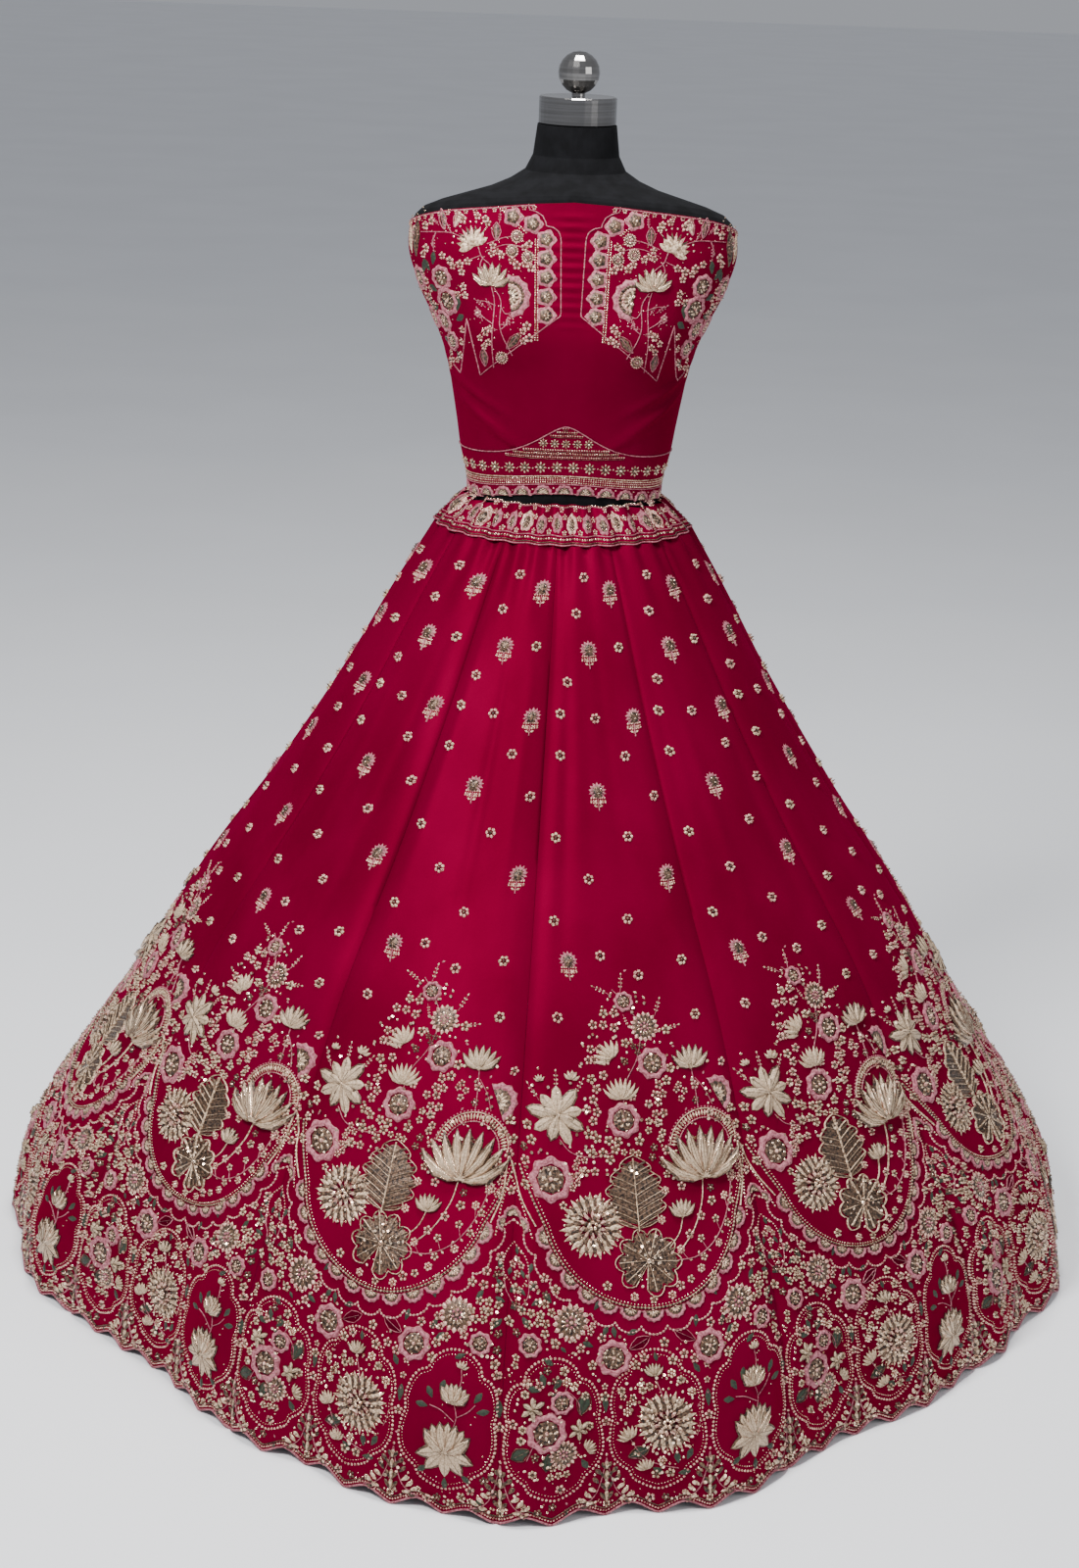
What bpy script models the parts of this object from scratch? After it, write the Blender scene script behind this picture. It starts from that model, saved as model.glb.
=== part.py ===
"""A lehenga choli worn by a limbless dress form: a flared skirt of twelve gored panels (kalis) with a
gathered waistband and a scalloped hem, and an off-shoulder blouse (choli) with a peaked waist belt.
The black form has a steel neck cap and knob, and stands on a pole and a round base under the skirt.

Metres, +Z up, the floor at z = 0 and the form's axis on x = y = 0. The front faces -Y. An azimuth is
measured round the axis from the front, positive towards +X."""

import math
from collections import namedtuple
from functools import lru_cache

import bmesh
import bpy
import numpy as np

# Walls and seams
SKIRT_WALL = 0.0020
BLOUSE_WALL = 0.0016
SEAM_GAP = 0.0003
FORM_CLEARANCE = 0.0005

# Skirt
PANELS = 12
FIRST_SEAM = math.radians(-3.0)
PANEL_ANGLE = 2 * math.pi / PANELS
PANEL_COLUMNS = 12
SKIRT_TOP = 0.9985
PANEL_HEIGHTS = (SKIRT_TOP, 0.955, 0.885, 0.78, 0.64, 0.49, 0.34, 0.21, 0.11, 0.042)
SCALLOPS_PER_PANEL = 6
SCALLOP_DEPTH = 0.013
SCALLOP_STRAIGHT_SHARE = 0.35
SCALLOP_ROUND_POWER = 1.5
SLOPE_STEP = 0.004
GATHERS_PER_PANEL = 3
GATHER_REACH = 0.0026
GATHER_FADE = 0.14
SEAM_DIP = 0.0045
SEAM_DIP_WIDTH = 0.014
HEM_LOBE = 0.034
HEM_LOBE_FRONT = 0.003
HEM_LOBE_TOP = 0.52

SkirtRing = namedtuple("SkirtRing", "height half_width depth_share")
SKIRT_RINGS = (
    SkirtRing(0.00, 0.696, 0.990),
    SkirtRing(0.06, 0.688, 0.990),
    SkirtRing(0.13, 0.672, 0.985),
    SkirtRing(0.22, 0.633, 0.980),
    SkirtRing(0.35, 0.558, 0.970),
    SkirtRing(0.50, 0.476, 0.950),
    SkirtRing(0.65, 0.373, 0.920),
    SkirtRing(0.80, 0.279, 0.880),
    SkirtRing(0.92, 0.212, 0.830),
    SkirtRing(1.00, 0.163, 0.800),
)

# The largest folds of the hem. Each runs up from the floor and dies out at its top.
HemFold = namedtuple("HemFold", "azimuth_deg reach spread_deg top")
HEM_FOLDS = (
    HemFold(-2, 0.012, 5.0, 0.62),
    HemFold(8, -0.013, 4.5, 0.40),
    HemFold(19, 0.014, 6.0, 0.45),
    HemFold(34, -0.009, 6.0, 0.42),
    HemFold(47, 0.012, 6.5, 0.50),
    HemFold(60, 0.010, 4.0, 0.40),
    HemFold(67, -0.008, 4.0, 0.40),
    HemFold(76, 0.007, 4.5, 0.46),
    HemFold(84, -0.010, 4.0, 0.36),
    HemFold(97, 0.009, 5.0, 0.42),
    HemFold(112, -0.012, 6.0, 0.46),
    HemFold(127, 0.011, 5.0, 0.50),
    HemFold(143, -0.010, 6.5, 0.42),
    HemFold(158, 0.012, 5.5, 0.44),
    HemFold(171, -0.009, 5.0, 0.38),
    HemFold(183, 0.010, 5.0, 0.52),
    HemFold(197, -0.011, 6.0, 0.44),
    HemFold(212, 0.012, 6.0, 0.46),
    HemFold(228, -0.009, 5.5, 0.40),
    HemFold(243, 0.010, 5.0, 0.48),
    HemFold(257, -0.012, 6.0, 0.44),
    HemFold(271, 0.006, 4.5, 0.36),
    HemFold(279, -0.012, 4.0, 0.36),
    HemFold(291, 0.004, 5.0, 0.44),
    HemFold(303, -0.010, 6.0, 0.46),
    HemFold(313, -0.016, 6.0, 0.50),
    HemFold(329, 0.007, 6.0, 0.50),
    HemFold(337, -0.010, 3.5, 0.36),
    HemFold(345, 0.004, 4.0, 0.40),
    HemFold(352, -0.004, 3.0, 0.30),
)

# Waistband
BAND_WALL = 0.0020
BAND_GATHERS = 28
BAND_COLUMNS_PER_GATHER = 4
BAND_LEVELS = (0.0, 0.30, 0.72, 1.0)
BandRim = namedtuple("BandRim", "height_front height_side height_back")
BAND_TOP = BandRim(1.0450, 1.0340, 1.0360)
BAND_BOTTOM_HEIGHT = SKIRT_TOP + SEAM_GAP
BAND_BOTTOM_CREST = 0.1665
BAND_BOTTOM_DEPTH_SHARE = 0.81
BAND_BOTTOM_AMPLITUDE = 0.0028
BAND_TOP_CREST_OUT = 0.0090
BAND_SEAM_RADIUS = 0.120

# Blouse. The rings are its outer face; a ring is a rounded box whose corners square off with power.
Ring = namedtuple("Ring", "height half_width front back power")
BLOUSE_RINGS = (
    Ring(1.030, 0.1210, 0.1005, 0.0860, 2.20),
    Ring(1.060, 0.1245, 0.1010, 0.0850, 2.20),
    Ring(1.097, 0.1335, 0.1040, 0.0850, 2.25),
    Ring(1.130, 0.1385, 0.1085, 0.0870, 2.30),
    Ring(1.166, 0.1445, 0.1150, 0.0900, 2.30),
    Ring(1.204, 0.1515, 0.1235, 0.0940, 2.30),
    Ring(1.253, 0.1685, 0.1290, 0.0980, 2.35),
    Ring(1.300, 0.1905, 0.1235, 0.1000, 2.40),
    Ring(1.350, 0.2035, 0.1120, 0.0990, 2.50),
    Ring(1.375, 0.2010, 0.1050, 0.0960, 2.50),
    Ring(1.410, 0.1930, 0.0960, 0.0910, 2.45),
)
CUP_AZIMUTH = math.radians(34)
CUP_HEIGHT = 1.247
CUP_REACH = 0.014
CUP_SPREAD = math.radians(20)
CUP_RISE = 0.040
SIDE_SEAM = math.radians(96)
BLOUSE_SEAM_RADIUS = 0.130
FRONT_COLUMNS = 28
BACK_COLUMNS = 12
# The neckline's height against the azimuth, the same on both sides
NECKLINE_TURNS_DEG = (0, 30, 50, 62, 72, 82, 96, 125, 152, 180)
NECKLINE_HEIGHTS = (1.4110, 1.4075, 1.4020, 1.3970, 1.3890, 1.3790, 1.3710, 1.3740, 1.3810, 1.3840)
BELT_TOP = 1.100
BELT_PEAK = 0.045
BELT_PEAK_WIDTH = 0.050
BELT_PEAK_POWER = 1.6
BELT_SEAM_HALF_WIDTH = 0.105
BELT_BOTTOM = BandRim(1.0570, 1.0400, 1.0440)
BODICE_LEVELS = (0.0, 0.13, 0.26, 0.38, 0.50, 0.62, 0.74, 0.88, 1.0)
BELT_LEVELS = (0.0, 0.5, 1.0)

# Dress form. It follows the blouse closely where the blouse covers it; these tables are the rest.
FORM_LOWER_RINGS = (
    Ring(0.800, 0.120, 0.080, 0.090, 2.2),
    Ring(0.812, 0.152, 0.106, 0.116, 2.2),
    Ring(0.860, 0.168, 0.118, 0.127, 2.2),
    Ring(0.920, 0.158, 0.114, 0.116, 2.2),
    Ring(0.975, 0.138, 0.105, 0.098, 2.2),
)
NECK_RINGS = (
    Ring(1.4400, 0.0620, 0.0570, 0.0590, 2.05),
    Ring(1.4580, 0.0530, 0.0515, 0.0530, 2.00),
    Ring(1.4945, 0.0485, 0.0480, 0.0480, 2.00),
)
# How far in towards the neck, and how far up to it, as shares of the way from the neckline
ShoulderStep = namedtuple("ShoulderStep", "inward upward")
SHOULDER_STEPS = (
    ShoulderStep(0.030, 0.120),
    ShoulderStep(0.100, 0.260),
    ShoulderStep(0.260, 0.400),
    ShoulderStep(0.480, 0.540),
    ShoulderStep(0.700, 0.680),
    ShoulderStep(0.870, 0.830),
)

CAP_RADIUS = 0.0475
CAP_HEIGHT = 0.0330
CAP_EDGE = 0.0014
CAP_SIDES = 36
KNOB_RADIUS = 0.0255
KNOB_SIDES = 20
KNOB_STEM_RADIUS = 0.0080
KNOB_STEM_HEIGHT = 0.0032
POLE_RADIUS = 0.0140
POLE_SIDES = 16
BASE_RADIUS = 0.1500
BASE_BEVEL = 0.004
BASE_CONE_WIDTH = 0.020
BASE_CONE_RISE = 0.006
BASE_SIDES = 36
BASE_EDGE_HEIGHT = 0.0100
BASE_BOSS_RADIUS = 0.0300
BASE_BOSS_HEIGHT = 0.0300

# The padded lotus sewn on each panel, inside the arch of its border
LOTUS_PETALS = 7
LOTUS_AZIMUTH_SHARE = 0.765
LOTUS_HEIGHT = 0.341
LOTUS_LENGTH = 0.068
LOTUS_BASE = 0.005
LOTUS_NOTCH = 0.66
LOTUS_END_NOTCH = 0.40
LOTUS_SPAN = math.radians(150)
LOTUS_SIDE_SHARE = 0.72
LOTUS_RELIEF = 0.0036
LOTUS_EDGE = 0.0013
LOTUS_SEAT = 0.0004
LOTUS_BASE_THICKER = 1.6
LOTUS_VALLEY_THICKER = 1.3
LOTUS_VALLEY_SHARE = 0.5
LOTUS_END_TURN = 0.3
LOTUS_RIDGE_SHARES = (0.38, 0.70)
SLOPE_FORESHORTENING = 0.88


def material(name, colour, roughness, metallic=0.0):
    made = bpy.data.materials.new(name)
    made.use_nodes = True
    shader = made.node_tree.nodes["Principled BSDF"]
    shader.inputs["Base Color"].default_value = (*colour, 1.0)
    shader.inputs["Roughness"].default_value = roughness
    shader.inputs["Metallic"].default_value = metallic
    return made


def curve_through(keys, values, at):
    """A smooth curve through a table's points that doesn't overshoot them, read at the given keys."""
    keys, values, at = (np.asarray(x, float) for x in (keys, values, at))
    steps = np.diff(keys)
    rises = np.diff(values) / steps
    slopes = np.empty_like(values)
    slopes[0], slopes[-1] = rises[0], rises[-1]
    both = rises[:-1] * rises[1:] > 0
    with np.errstate(divide="ignore", invalid="ignore"):
        slopes[1:-1] = np.where(both, 2 * rises[:-1] * rises[1:] / (rises[:-1] + rises[1:]), 0.0)
    at = np.clip(at, keys[0], keys[-1])
    i = np.clip(np.searchsorted(keys, at, side="right") - 1, 0, len(steps) - 1)
    t = (at - keys[i]) / steps[i]
    h = steps[i]
    return (
        values[i] * (1 + 2 * t) * (1 - t) ** 2
        + slopes[i] * h * t * (1 - t) ** 2
        + values[i + 1] * t * t * (3 - 2 * t)
        + slopes[i + 1] * h * t * t * (t - 1)
    )


def fade(height, top):
    """1 at the floor, falling smoothly to 0 at top."""
    t = np.clip(1 - height / top, 0, 1)
    return t * t * (3 - 2 * t)


def angle_from(azimuth, centre):
    """The signed angle from centre, between -pi and pi."""
    return (azimuth - centre + math.pi) % (2 * math.pi) - math.pi


def rim_height(rim, azimuth):
    """A rim's height, which runs smoothly from the front over the sides to the back."""
    c = np.cos(azimuth)
    end = np.where(c > 0, rim.height_front, rim.height_back)
    return rim.height_side + (end - rim.height_side) * c * c


def skirt_radius(azimuth, height):
    """Distance from the axis to the skirt's outer face."""
    heights = [ring.height for ring in SKIRT_RINGS]
    half_width = curve_through(heights, [ring.half_width for ring in SKIRT_RINGS], height)
    depth = half_width * curve_through(heights, [ring.depth_share for ring in SKIRT_RINGS], height)
    radius = half_width * depth / np.hypot(depth * np.sin(azimuth), half_width * np.cos(azimuth))
    lobe = HEM_LOBE + HEM_LOBE_FRONT * np.cos(azimuth)
    radius = radius + lobe * np.cos(4 * azimuth) * fade(height, HEM_LOBE_TOP)
    for fold in HEM_FOLDS:
        away = angle_from(azimuth, math.radians(fold.azimuth_deg)) / math.radians(fold.spread_deg)
        radius = radius + fold.reach * np.exp(-away * away) * fade(height, fold.top)
    gathered = np.clip(1 - (SKIRT_TOP - height) / GATHER_FADE, 0, 1) ** 2
    radius = radius + GATHER_REACH * gathered * np.cos(
        GATHERS_PER_PANEL * PANELS * (azimuth - FIRST_SEAM)
    )
    from_seam = radius * np.abs(angle_from((azimuth - FIRST_SEAM) * PANELS, 0)) / PANELS
    return radius - SEAM_DIP * np.exp(-((from_seam / SEAM_DIP_WIDTH) ** 2))


def blouse_radius(azimuth, height):
    """Distance from the axis to the blouse's outer face."""
    heights = [ring.height for ring in BLOUSE_RINGS]
    half_width, front, back, power = (
        curve_through(heights, [getattr(ring, name) for ring in BLOUSE_RINGS], height)
        for name in ("half_width", "front", "back", "power")
    )
    depth = np.where(np.cos(azimuth) > 0, front, back)
    radius = ring_radius(azimuth, half_width, depth, power)
    for side in (-1, 1):
        across = angle_from(azimuth, side * CUP_AZIMUTH) / CUP_SPREAD
        up = (height - CUP_HEIGHT) / CUP_RISE
        radius = radius + CUP_REACH * np.exp(-across * across - up * up)
    return radius


def ring_radius(azimuth, half_width, depth, power):
    across = np.abs(np.sin(azimuth) / half_width) ** power
    along = np.abs(np.cos(azimuth) / depth) ** power
    return (across + along) ** (-1 / power)


def at(azimuth, radius, height):
    """Points from azimuths, radii and heights, which broadcast together."""
    azimuth, radius, height = np.broadcast_arrays(azimuth, radius, height)
    return np.stack([radius * np.sin(azimuth), -radius * np.cos(azimuth), height], axis=-1)


def mesh_object(name, points, faces, finish, smooth_angle=40):
    mesh = bpy.data.meshes.new(name)
    mesh.from_pydata([tuple(map(float, p)) for p in points], [], faces)
    shaped = bmesh.new()
    shaped.from_mesh(mesh)
    bmesh.ops.recalc_face_normals(shaped, faces=shaped.faces)
    shaped.to_mesh(mesh)
    shaped.free()
    mesh.shade_smooth()
    mesh.set_sharp_from_angle(angle=math.radians(smooth_angle))
    mesh.materials.append(finish)
    made = bpy.data.objects.new(name, mesh)
    bpy.context.scene.collection.objects.link(made)
    return made


def strip(upper, lower):
    """Triangles between two rows of point numbers, of which the lower has as many or twice the steps."""
    if len(lower) == len(upper):
        faces = []
        for a, b, c, d in zip(upper[:-1], upper[1:], lower[1:], lower[:-1]):
            faces += [(a, d, c), (a, c, b)]
        return faces
    faces = []
    for j in range(len(upper) - 1):
        a, b = upper[j], upper[j + 1]
        c, d, e = lower[2 * j : 2 * j + 3]
        faces += [(a, c, d), (a, d, b), (b, d, e)]
    return faces


def walled(name, outer_rows, inner_rows, finish, closed=False):
    """A wall between an outer and an inner sheet, each a list of rows of points from top to bottom."""
    points, outer, inner = [], [], []
    for rows, numbers in ((outer_rows, outer), (inner_rows, inner)):
        for row in rows:
            first = len(points)
            points.extend(row)
            numbers.append(list(range(first, first + len(row))))
            if closed:
                numbers[-1].append(first)
    faces = []
    for numbers in (outer, inner):
        for upper, lower in zip(numbers[:-1], numbers[1:]):
            faces += strip(upper, lower)
    faces += strip(outer[0], inner[0])
    faces += strip(outer[-1], inner[-1])
    if not closed:
        for end in (0, -1):
            faces += strip([row[end] for row in outer], [row[end] for row in inner])
    return mesh_object(name, points, faces, finish)


def scallop_height(share):
    """Height of the hem's edge above the floor at a share of the panel's width.

    A scallop's tip touches the floor, and a panel starts and ends on a tip."""
    place = (share * SCALLOPS_PER_PANEL) % 1.0
    from_tip = 1 - np.abs(2 * place - 1)
    round_part = np.sin(from_tip * math.pi / 2) ** SCALLOP_ROUND_POWER
    return SCALLOP_DEPTH * (
        SCALLOP_STRAIGHT_SHARE * from_tip + (1 - SCALLOP_STRAIGHT_SHARE) * round_part
    )


def panel_azimuth(number, share, radius):
    """An azimuth across a panel, kept off its two seams by half the seam gap at that radius."""
    start = FIRST_SEAM + number * PANEL_ANGLE
    margin = SEAM_GAP / 2 / radius
    return start + margin + share * (PANEL_ANGLE - 2 * margin)


def inward(azimuth, height, distance):
    """How far a wall's inner point lies in and down from its outer one, square to the skirt's slope."""
    step = SLOPE_STEP
    above = skirt_radius(azimuth, np.minimum(height + step, SKIRT_TOP))
    below = skirt_radius(azimuth, np.maximum(height - step, 0.0))
    rise = np.minimum(height + step, SKIRT_TOP) - np.maximum(height - step, 0.0)
    slope = (below - above) / rise
    size = np.hypot(1.0, slope)
    return distance / size, distance * slope / size


@lru_cache(maxsize=None)
def panel_rows(number, depth):
    """Rows of points of a panel's face at a depth under its outer face, the scalloped hem last."""
    rows = []
    for level, height in enumerate((*PANEL_HEIGHTS, None)):
        columns = PANEL_COLUMNS if height is not None else 4 * SCALLOPS_PER_PANEL
        share = np.linspace(0, 1, columns + 1)
        z = scallop_height(share) if height is None else np.full_like(share, height)
        middle = FIRST_SEAM + (number + share) * PANEL_ANGLE
        outer = skirt_radius(middle, z)
        shift, drop = inward(middle, z, depth)
        radius = outer - shift
        azimuth = panel_azimuth(number, share, radius)
        z = z if level == 0 else np.maximum(z - drop, 0.0)
        rows.append(at(azimuth, radius, z))
    return rows


def make_panels(finish):
    for number in range(PANELS):
        outer, inner = panel_rows(number, 0.0), panel_rows(number, SKIRT_WALL)
        walled(f"kali_{number + 1:02d}", outer, inner, finish)


def panel_face(number, azimuth, height):
    """A point on a panel's outer face, read on the flat triangle between its own grid points."""
    rows = panel_rows(number, 0.0)[:-1]
    heights = np.array([row[0][2] for row in rows])
    level = int(np.clip(np.searchsorted(-heights, -height) - 1, 0, len(heights) - 2))
    down = (heights[level] - height) / (heights[level] - heights[level + 1])
    share = angle_from(azimuth, FIRST_SEAM + number * PANEL_ANGLE) / PANEL_ANGLE * PANEL_COLUMNS
    column = int(np.clip(share, 0, PANEL_COLUMNS - 1))
    along = share - column
    (a, b), (d, c) = rows[level][column : column + 2], rows[level + 1][column : column + 2]
    if along > down:
        return a + along * (b - a) + down * (c - b)
    return a + down * (d - a) + along * (c - d)


def lotus_point(number, across, up, lift):
    """A point of the lotus, given in its own flat plan, laid on the panel and lifted off it."""
    height = LOTUS_HEIGHT + up * SLOPE_FORESHORTENING
    middle = FIRST_SEAM + (number + LOTUS_AZIMUTH_SHARE) * PANEL_ANGLE
    azimuth = middle + across / float(skirt_radius(middle, height))
    shift, drop = inward(azimuth, height, lift)
    out = np.array([math.sin(azimuth) * shift, -math.cos(azimuth) * shift, drop])
    return panel_face(number, azimuth, height) + out


def clearance_over_panel(number, point):
    """How far a point stands out from the panel, measured level and square to the axis."""
    face = panel_face(number, math.atan2(point[0], -point[1]), point[2])
    return math.hypot(point[0], point[1]) - math.hypot(face[0], face[1])


def make_lotus(number, finish):
    """Padded petals spread like a fan, with a ridge down each and a valley between each two."""
    half = LOTUS_SPAN / 2
    between = LOTUS_SPAN / (LOTUS_PETALS - 1)
    tops, unders, faces = [], [], []

    def add(turn, length, thickness):
        across, up = length * math.sin(turn), length * math.cos(turn)
        tops.append(lotus_point(number, across, up, LOTUS_SEAT + thickness))
        unders.append(lotus_point(number, across, up, LOTUS_SEAT))
        return len(tops) - 1

    base = add(math.pi, LOTUS_BASE, LOTUS_EDGE * LOTUS_BASE_THICKER)
    valleys, ridges, tips = [], [], []
    for k in range(LOTUS_PETALS + 1):
        end = k in (0, LOTUS_PETALS)
        turn = -half + between * (k - 0.5) + (LOTUS_END_TURN * between * (1 if k == 0 else -1) if end else 0)
        notch = LOTUS_LENGTH * (LOTUS_END_NOTCH if end else LOTUS_NOTCH)
        low = add(turn, notch * LOTUS_VALLEY_SHARE, LOTUS_EDGE * LOTUS_VALLEY_THICKER)
        valleys.append((low, add(turn, notch, LOTUS_EDGE)))
    for k in range(LOTUS_PETALS):
        turn = -half + between * k
        length = LOTUS_LENGTH * (LOTUS_SIDE_SHARE + (1 - LOTUS_SIDE_SHARE) * math.cos(turn) ** 2)
        ridges.append([add(turn, length * share, LOTUS_RELIEF) for share in LOTUS_RIDGE_SHARES])
        tips.append(add(turn, length, LOTUS_EDGE))
    for k in range(LOTUS_PETALS):
        (left_low, left), (right_low, right) = valleys[k], valleys[k + 1]
        (ridge_low, ridge), tip = ridges[k], tips[k]
        faces += [(base, left_low, ridge_low), (base, ridge_low, right_low)]
        faces += [(left_low, left, ridge), (left_low, ridge, ridge_low)]
        faces += [(ridge_low, ridge, right), (ridge_low, right, right_low)]
        faces += [(ridge, left, tip), (ridge, tip, right)]
    rim = [base, *valleys[0]]
    for k in range(LOTUS_PETALS):
        rim += [tips[k], valleys[k + 1][1]]
    rim += [valleys[-1][0], base]

    samples = [
        unders[a] * u + unders[b] * v + unders[c] * (1 - u - v)
        for a, b, c in faces
        for u in np.linspace(0, 1, 5)
        for v in np.linspace(0, 1 - u, 5)
    ]
    nearest = min(clearance_over_panel(number, point) for point in samples)
    middle = FIRST_SEAM + (number + LOTUS_AZIMUTH_SHARE) * PANEL_ANGLE
    lift = (LOTUS_SEAT - nearest) * np.array([math.sin(middle), -math.cos(middle), 0.0])
    count = len(tops)
    points = [point + lift for point in (*tops, *unders)]
    faces += [tuple(count + i for i in face) for face in faces]
    for a, b in zip(rim[:-1], rim[1:]):
        faces += [(a, count + a, count + b), (a, count + b, b)]
    mesh_object(f"lotus_{number + 1:02d}", points, faces, finish, smooth_angle=25)


def band_rows(azimuth, depth):
    """Rows of points of the waistband, whose gathers press on the form at the top."""
    wave = np.cos(BAND_GATHERS * azimuth)
    top_height = rim_height(BAND_TOP, azimuth)
    bottom_depth = BAND_BOTTOM_CREST * BAND_BOTTOM_DEPTH_SHARE
    bottom = ring_radius(azimuth, BAND_BOTTOM_CREST, bottom_depth, 2.0) - BAND_BOTTOM_AMPLITUDE
    valley = form_radius(azimuth, top_height) + FORM_CLEARANCE + BAND_WALL
    crest = form_radius(azimuth, top_height) + BAND_TOP_CREST_OUT + BAND_WALL
    top = (valley + crest) / 2
    rows = []
    for level in BAND_LEVELS:
        height = top_height + (BAND_BOTTOM_HEIGHT - top_height) * level
        mean = top + (bottom - top) * level
        amplitude = (crest - valley) / 2 * (1 - level) + BAND_BOTTOM_AMPLITUDE * level
        rows.append(at(azimuth, mean + amplitude * wave - depth, height))
    return rows


def make_band(finish):
    columns = BAND_GATHERS // 2 * BAND_COLUMNS_PER_GATHER
    for name, start in (("waistband_front", -math.pi / 2), ("waistband_back", math.pi / 2)):
        share = np.linspace(0, 1, columns + 1)
        margin = SEAM_GAP / 2 / BAND_SEAM_RADIUS
        azimuth = start + margin + share * (math.pi - 2 * margin)
        walled(name, band_rows(azimuth, 0.0), band_rows(azimuth, BAND_WALL), finish)


def neckline(azimuth):
    return curve_through(NECKLINE_TURNS_DEG, NECKLINE_HEIGHTS, np.degrees(np.abs(angle_from(azimuth, 0))))


def belt_seam(azimuth):
    """Height of the seam between the bodice and the belt, with its peak at the front."""
    across = BELT_SEAM_HALF_WIDTH * np.sin(np.clip(angle_from(azimuth, 0), -math.pi / 2, math.pi / 2))
    rise = np.exp(-np.abs(across / BELT_PEAK_WIDTH) ** BELT_PEAK_POWER)
    return BELT_TOP + BELT_PEAK * np.where(np.cos(azimuth) > 0, rise, 0.0)


def blouse_wall(name, azimuths, upper, lower, levels, finish):
    """A piece of the blouse between two heights, each a function of the azimuth."""
    top, bottom = upper(azimuths), lower(azimuths)
    sheets = []
    for depth in (0.0, BLOUSE_WALL):
        rows = []
        for level in levels:
            height = top + (bottom - top) * level
            radius = blouse_radius(azimuths, height) - depth
            rows.append(at(azimuths, radius, height))
        sheets.append(rows)
    walled(name, *sheets, finish)


def blouse_columns():
    """Azimuths of the front's and of the two backs' columns, kept off the seams by half the seam gap."""
    margin = SEAM_GAP / 2 / BLOUSE_SEAM_RADIUS
    front = np.linspace(-SIDE_SEAM + margin, SIDE_SEAM - margin, FRONT_COLUMNS + 1)
    back = np.linspace(SIDE_SEAM + margin, math.pi - margin, BACK_COLUMNS + 1)
    return front, back, -back[::-1]


def make_blouse(finish, belt_finish):
    front, right, left = blouse_columns()

    def over_belt(azimuth):
        return belt_seam(azimuth) + SEAM_GAP / 2

    def under_seam(azimuth):
        return belt_seam(azimuth) - SEAM_GAP / 2

    def belt_bottom(azimuth):
        return rim_height(BELT_BOTTOM, azimuth)

    for name, azimuths in (("front", front), ("back_right", right), ("back_left", left)):
        blouse_wall(f"choli_{name}", azimuths, neckline, over_belt, BODICE_LEVELS, finish)
        blouse_wall(f"choli_belt_{name}", azimuths, under_seam, belt_bottom, BELT_LEVELS, belt_finish)


def form_radius(azimuth, height):
    """Distance from the axis to the dress form's face where the blouse or the band covers it."""
    return blouse_radius(azimuth, height) - BLOUSE_WALL - FORM_CLEARANCE


def form_columns():
    """The blouse's own columns, so that the form's flats lie under the blouse's flats."""
    front = np.linspace(-SIDE_SEAM, SIDE_SEAM, FRONT_COLUMNS + 1)
    back = np.linspace(SIDE_SEAM, 2 * math.pi - SIDE_SEAM, 2 * BACK_COLUMNS + 1)
    return np.concatenate([front, back[1:-1]])


def form_rows(azimuth):
    """Rows of points of the dress form's face, from its neck to its lower end."""

    def own(ring):
        depth = np.where(np.cos(azimuth) > 0, ring.front, ring.back)
        return ring_radius(azimuth, ring.half_width, depth, ring.power), ring.height

    neck_radius, neck_height = own(NECK_RINGS[0])
    edge = neckline(azimuth)
    edge_radius = form_radius(azimuth, edge)
    rows = [own(ring) for ring in reversed(NECK_RINGS)]
    for step in reversed(SHOULDER_STEPS):
        radius = edge_radius + (neck_radius - edge_radius) * step.inward
        rows.append((radius, edge + (neck_height - edge) * step.upward))
    seam, belt_bottom = belt_seam(azimuth), rim_height(BELT_BOTTOM, azimuth)
    heights = [edge + (seam - edge) * level for level in BODICE_LEVELS]
    heights += [seam + (belt_bottom - seam) * level for level in BELT_LEVELS[1:]]
    heights.append(rim_height(BAND_TOP, azimuth))
    rows += [(form_radius(azimuth, height), height) for height in heights]
    rows += [own(ring) for ring in reversed(FORM_LOWER_RINGS)]
    return [at(azimuth, radius, height) for radius, height in rows]


def make_form(finish):
    rows = form_rows(form_columns())
    points, numbers = [], []
    for row in rows:
        first = len(points)
        points.extend(row)
        numbers.append([*range(first, first + len(row)), first])
    faces = []
    for upper, lower in zip(numbers[:-1], numbers[1:]):
        faces += strip(upper, lower)
    for row, height in ((numbers[0], rows[0][0][2]), (numbers[-1], rows[-1][0][2])):
        points.append((0.0, 0.0, height))
        centre = len(points) - 1
        faces += [(centre, a, b) for a, b in zip(row[:-1], row[1:])]
    mesh_object("form_torso", points, faces, finish)


def turned(name, profile, sides, finish):
    """A closed solid turned about the axis from a profile of (radius, height), bottom to top."""
    points, rows = [], []
    for radius, height in profile:
        first = len(points)
        if radius == 0:
            points.append((0.0, 0.0, height))
            rows.append([first] * (sides + 1))
            continue
        turn = np.linspace(0, 2 * math.pi, sides, endpoint=False)
        points.extend(at(turn, radius, height))
        rows.append([*range(first, first + sides), first])
    faces = []
    for lower, upper in zip(rows[:-1], rows[1:]):
        faces += [f for f in strip(upper, lower) if len(set(f)) == 3]
    mesh_object(name, points, faces, finish, smooth_angle=35)


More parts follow.
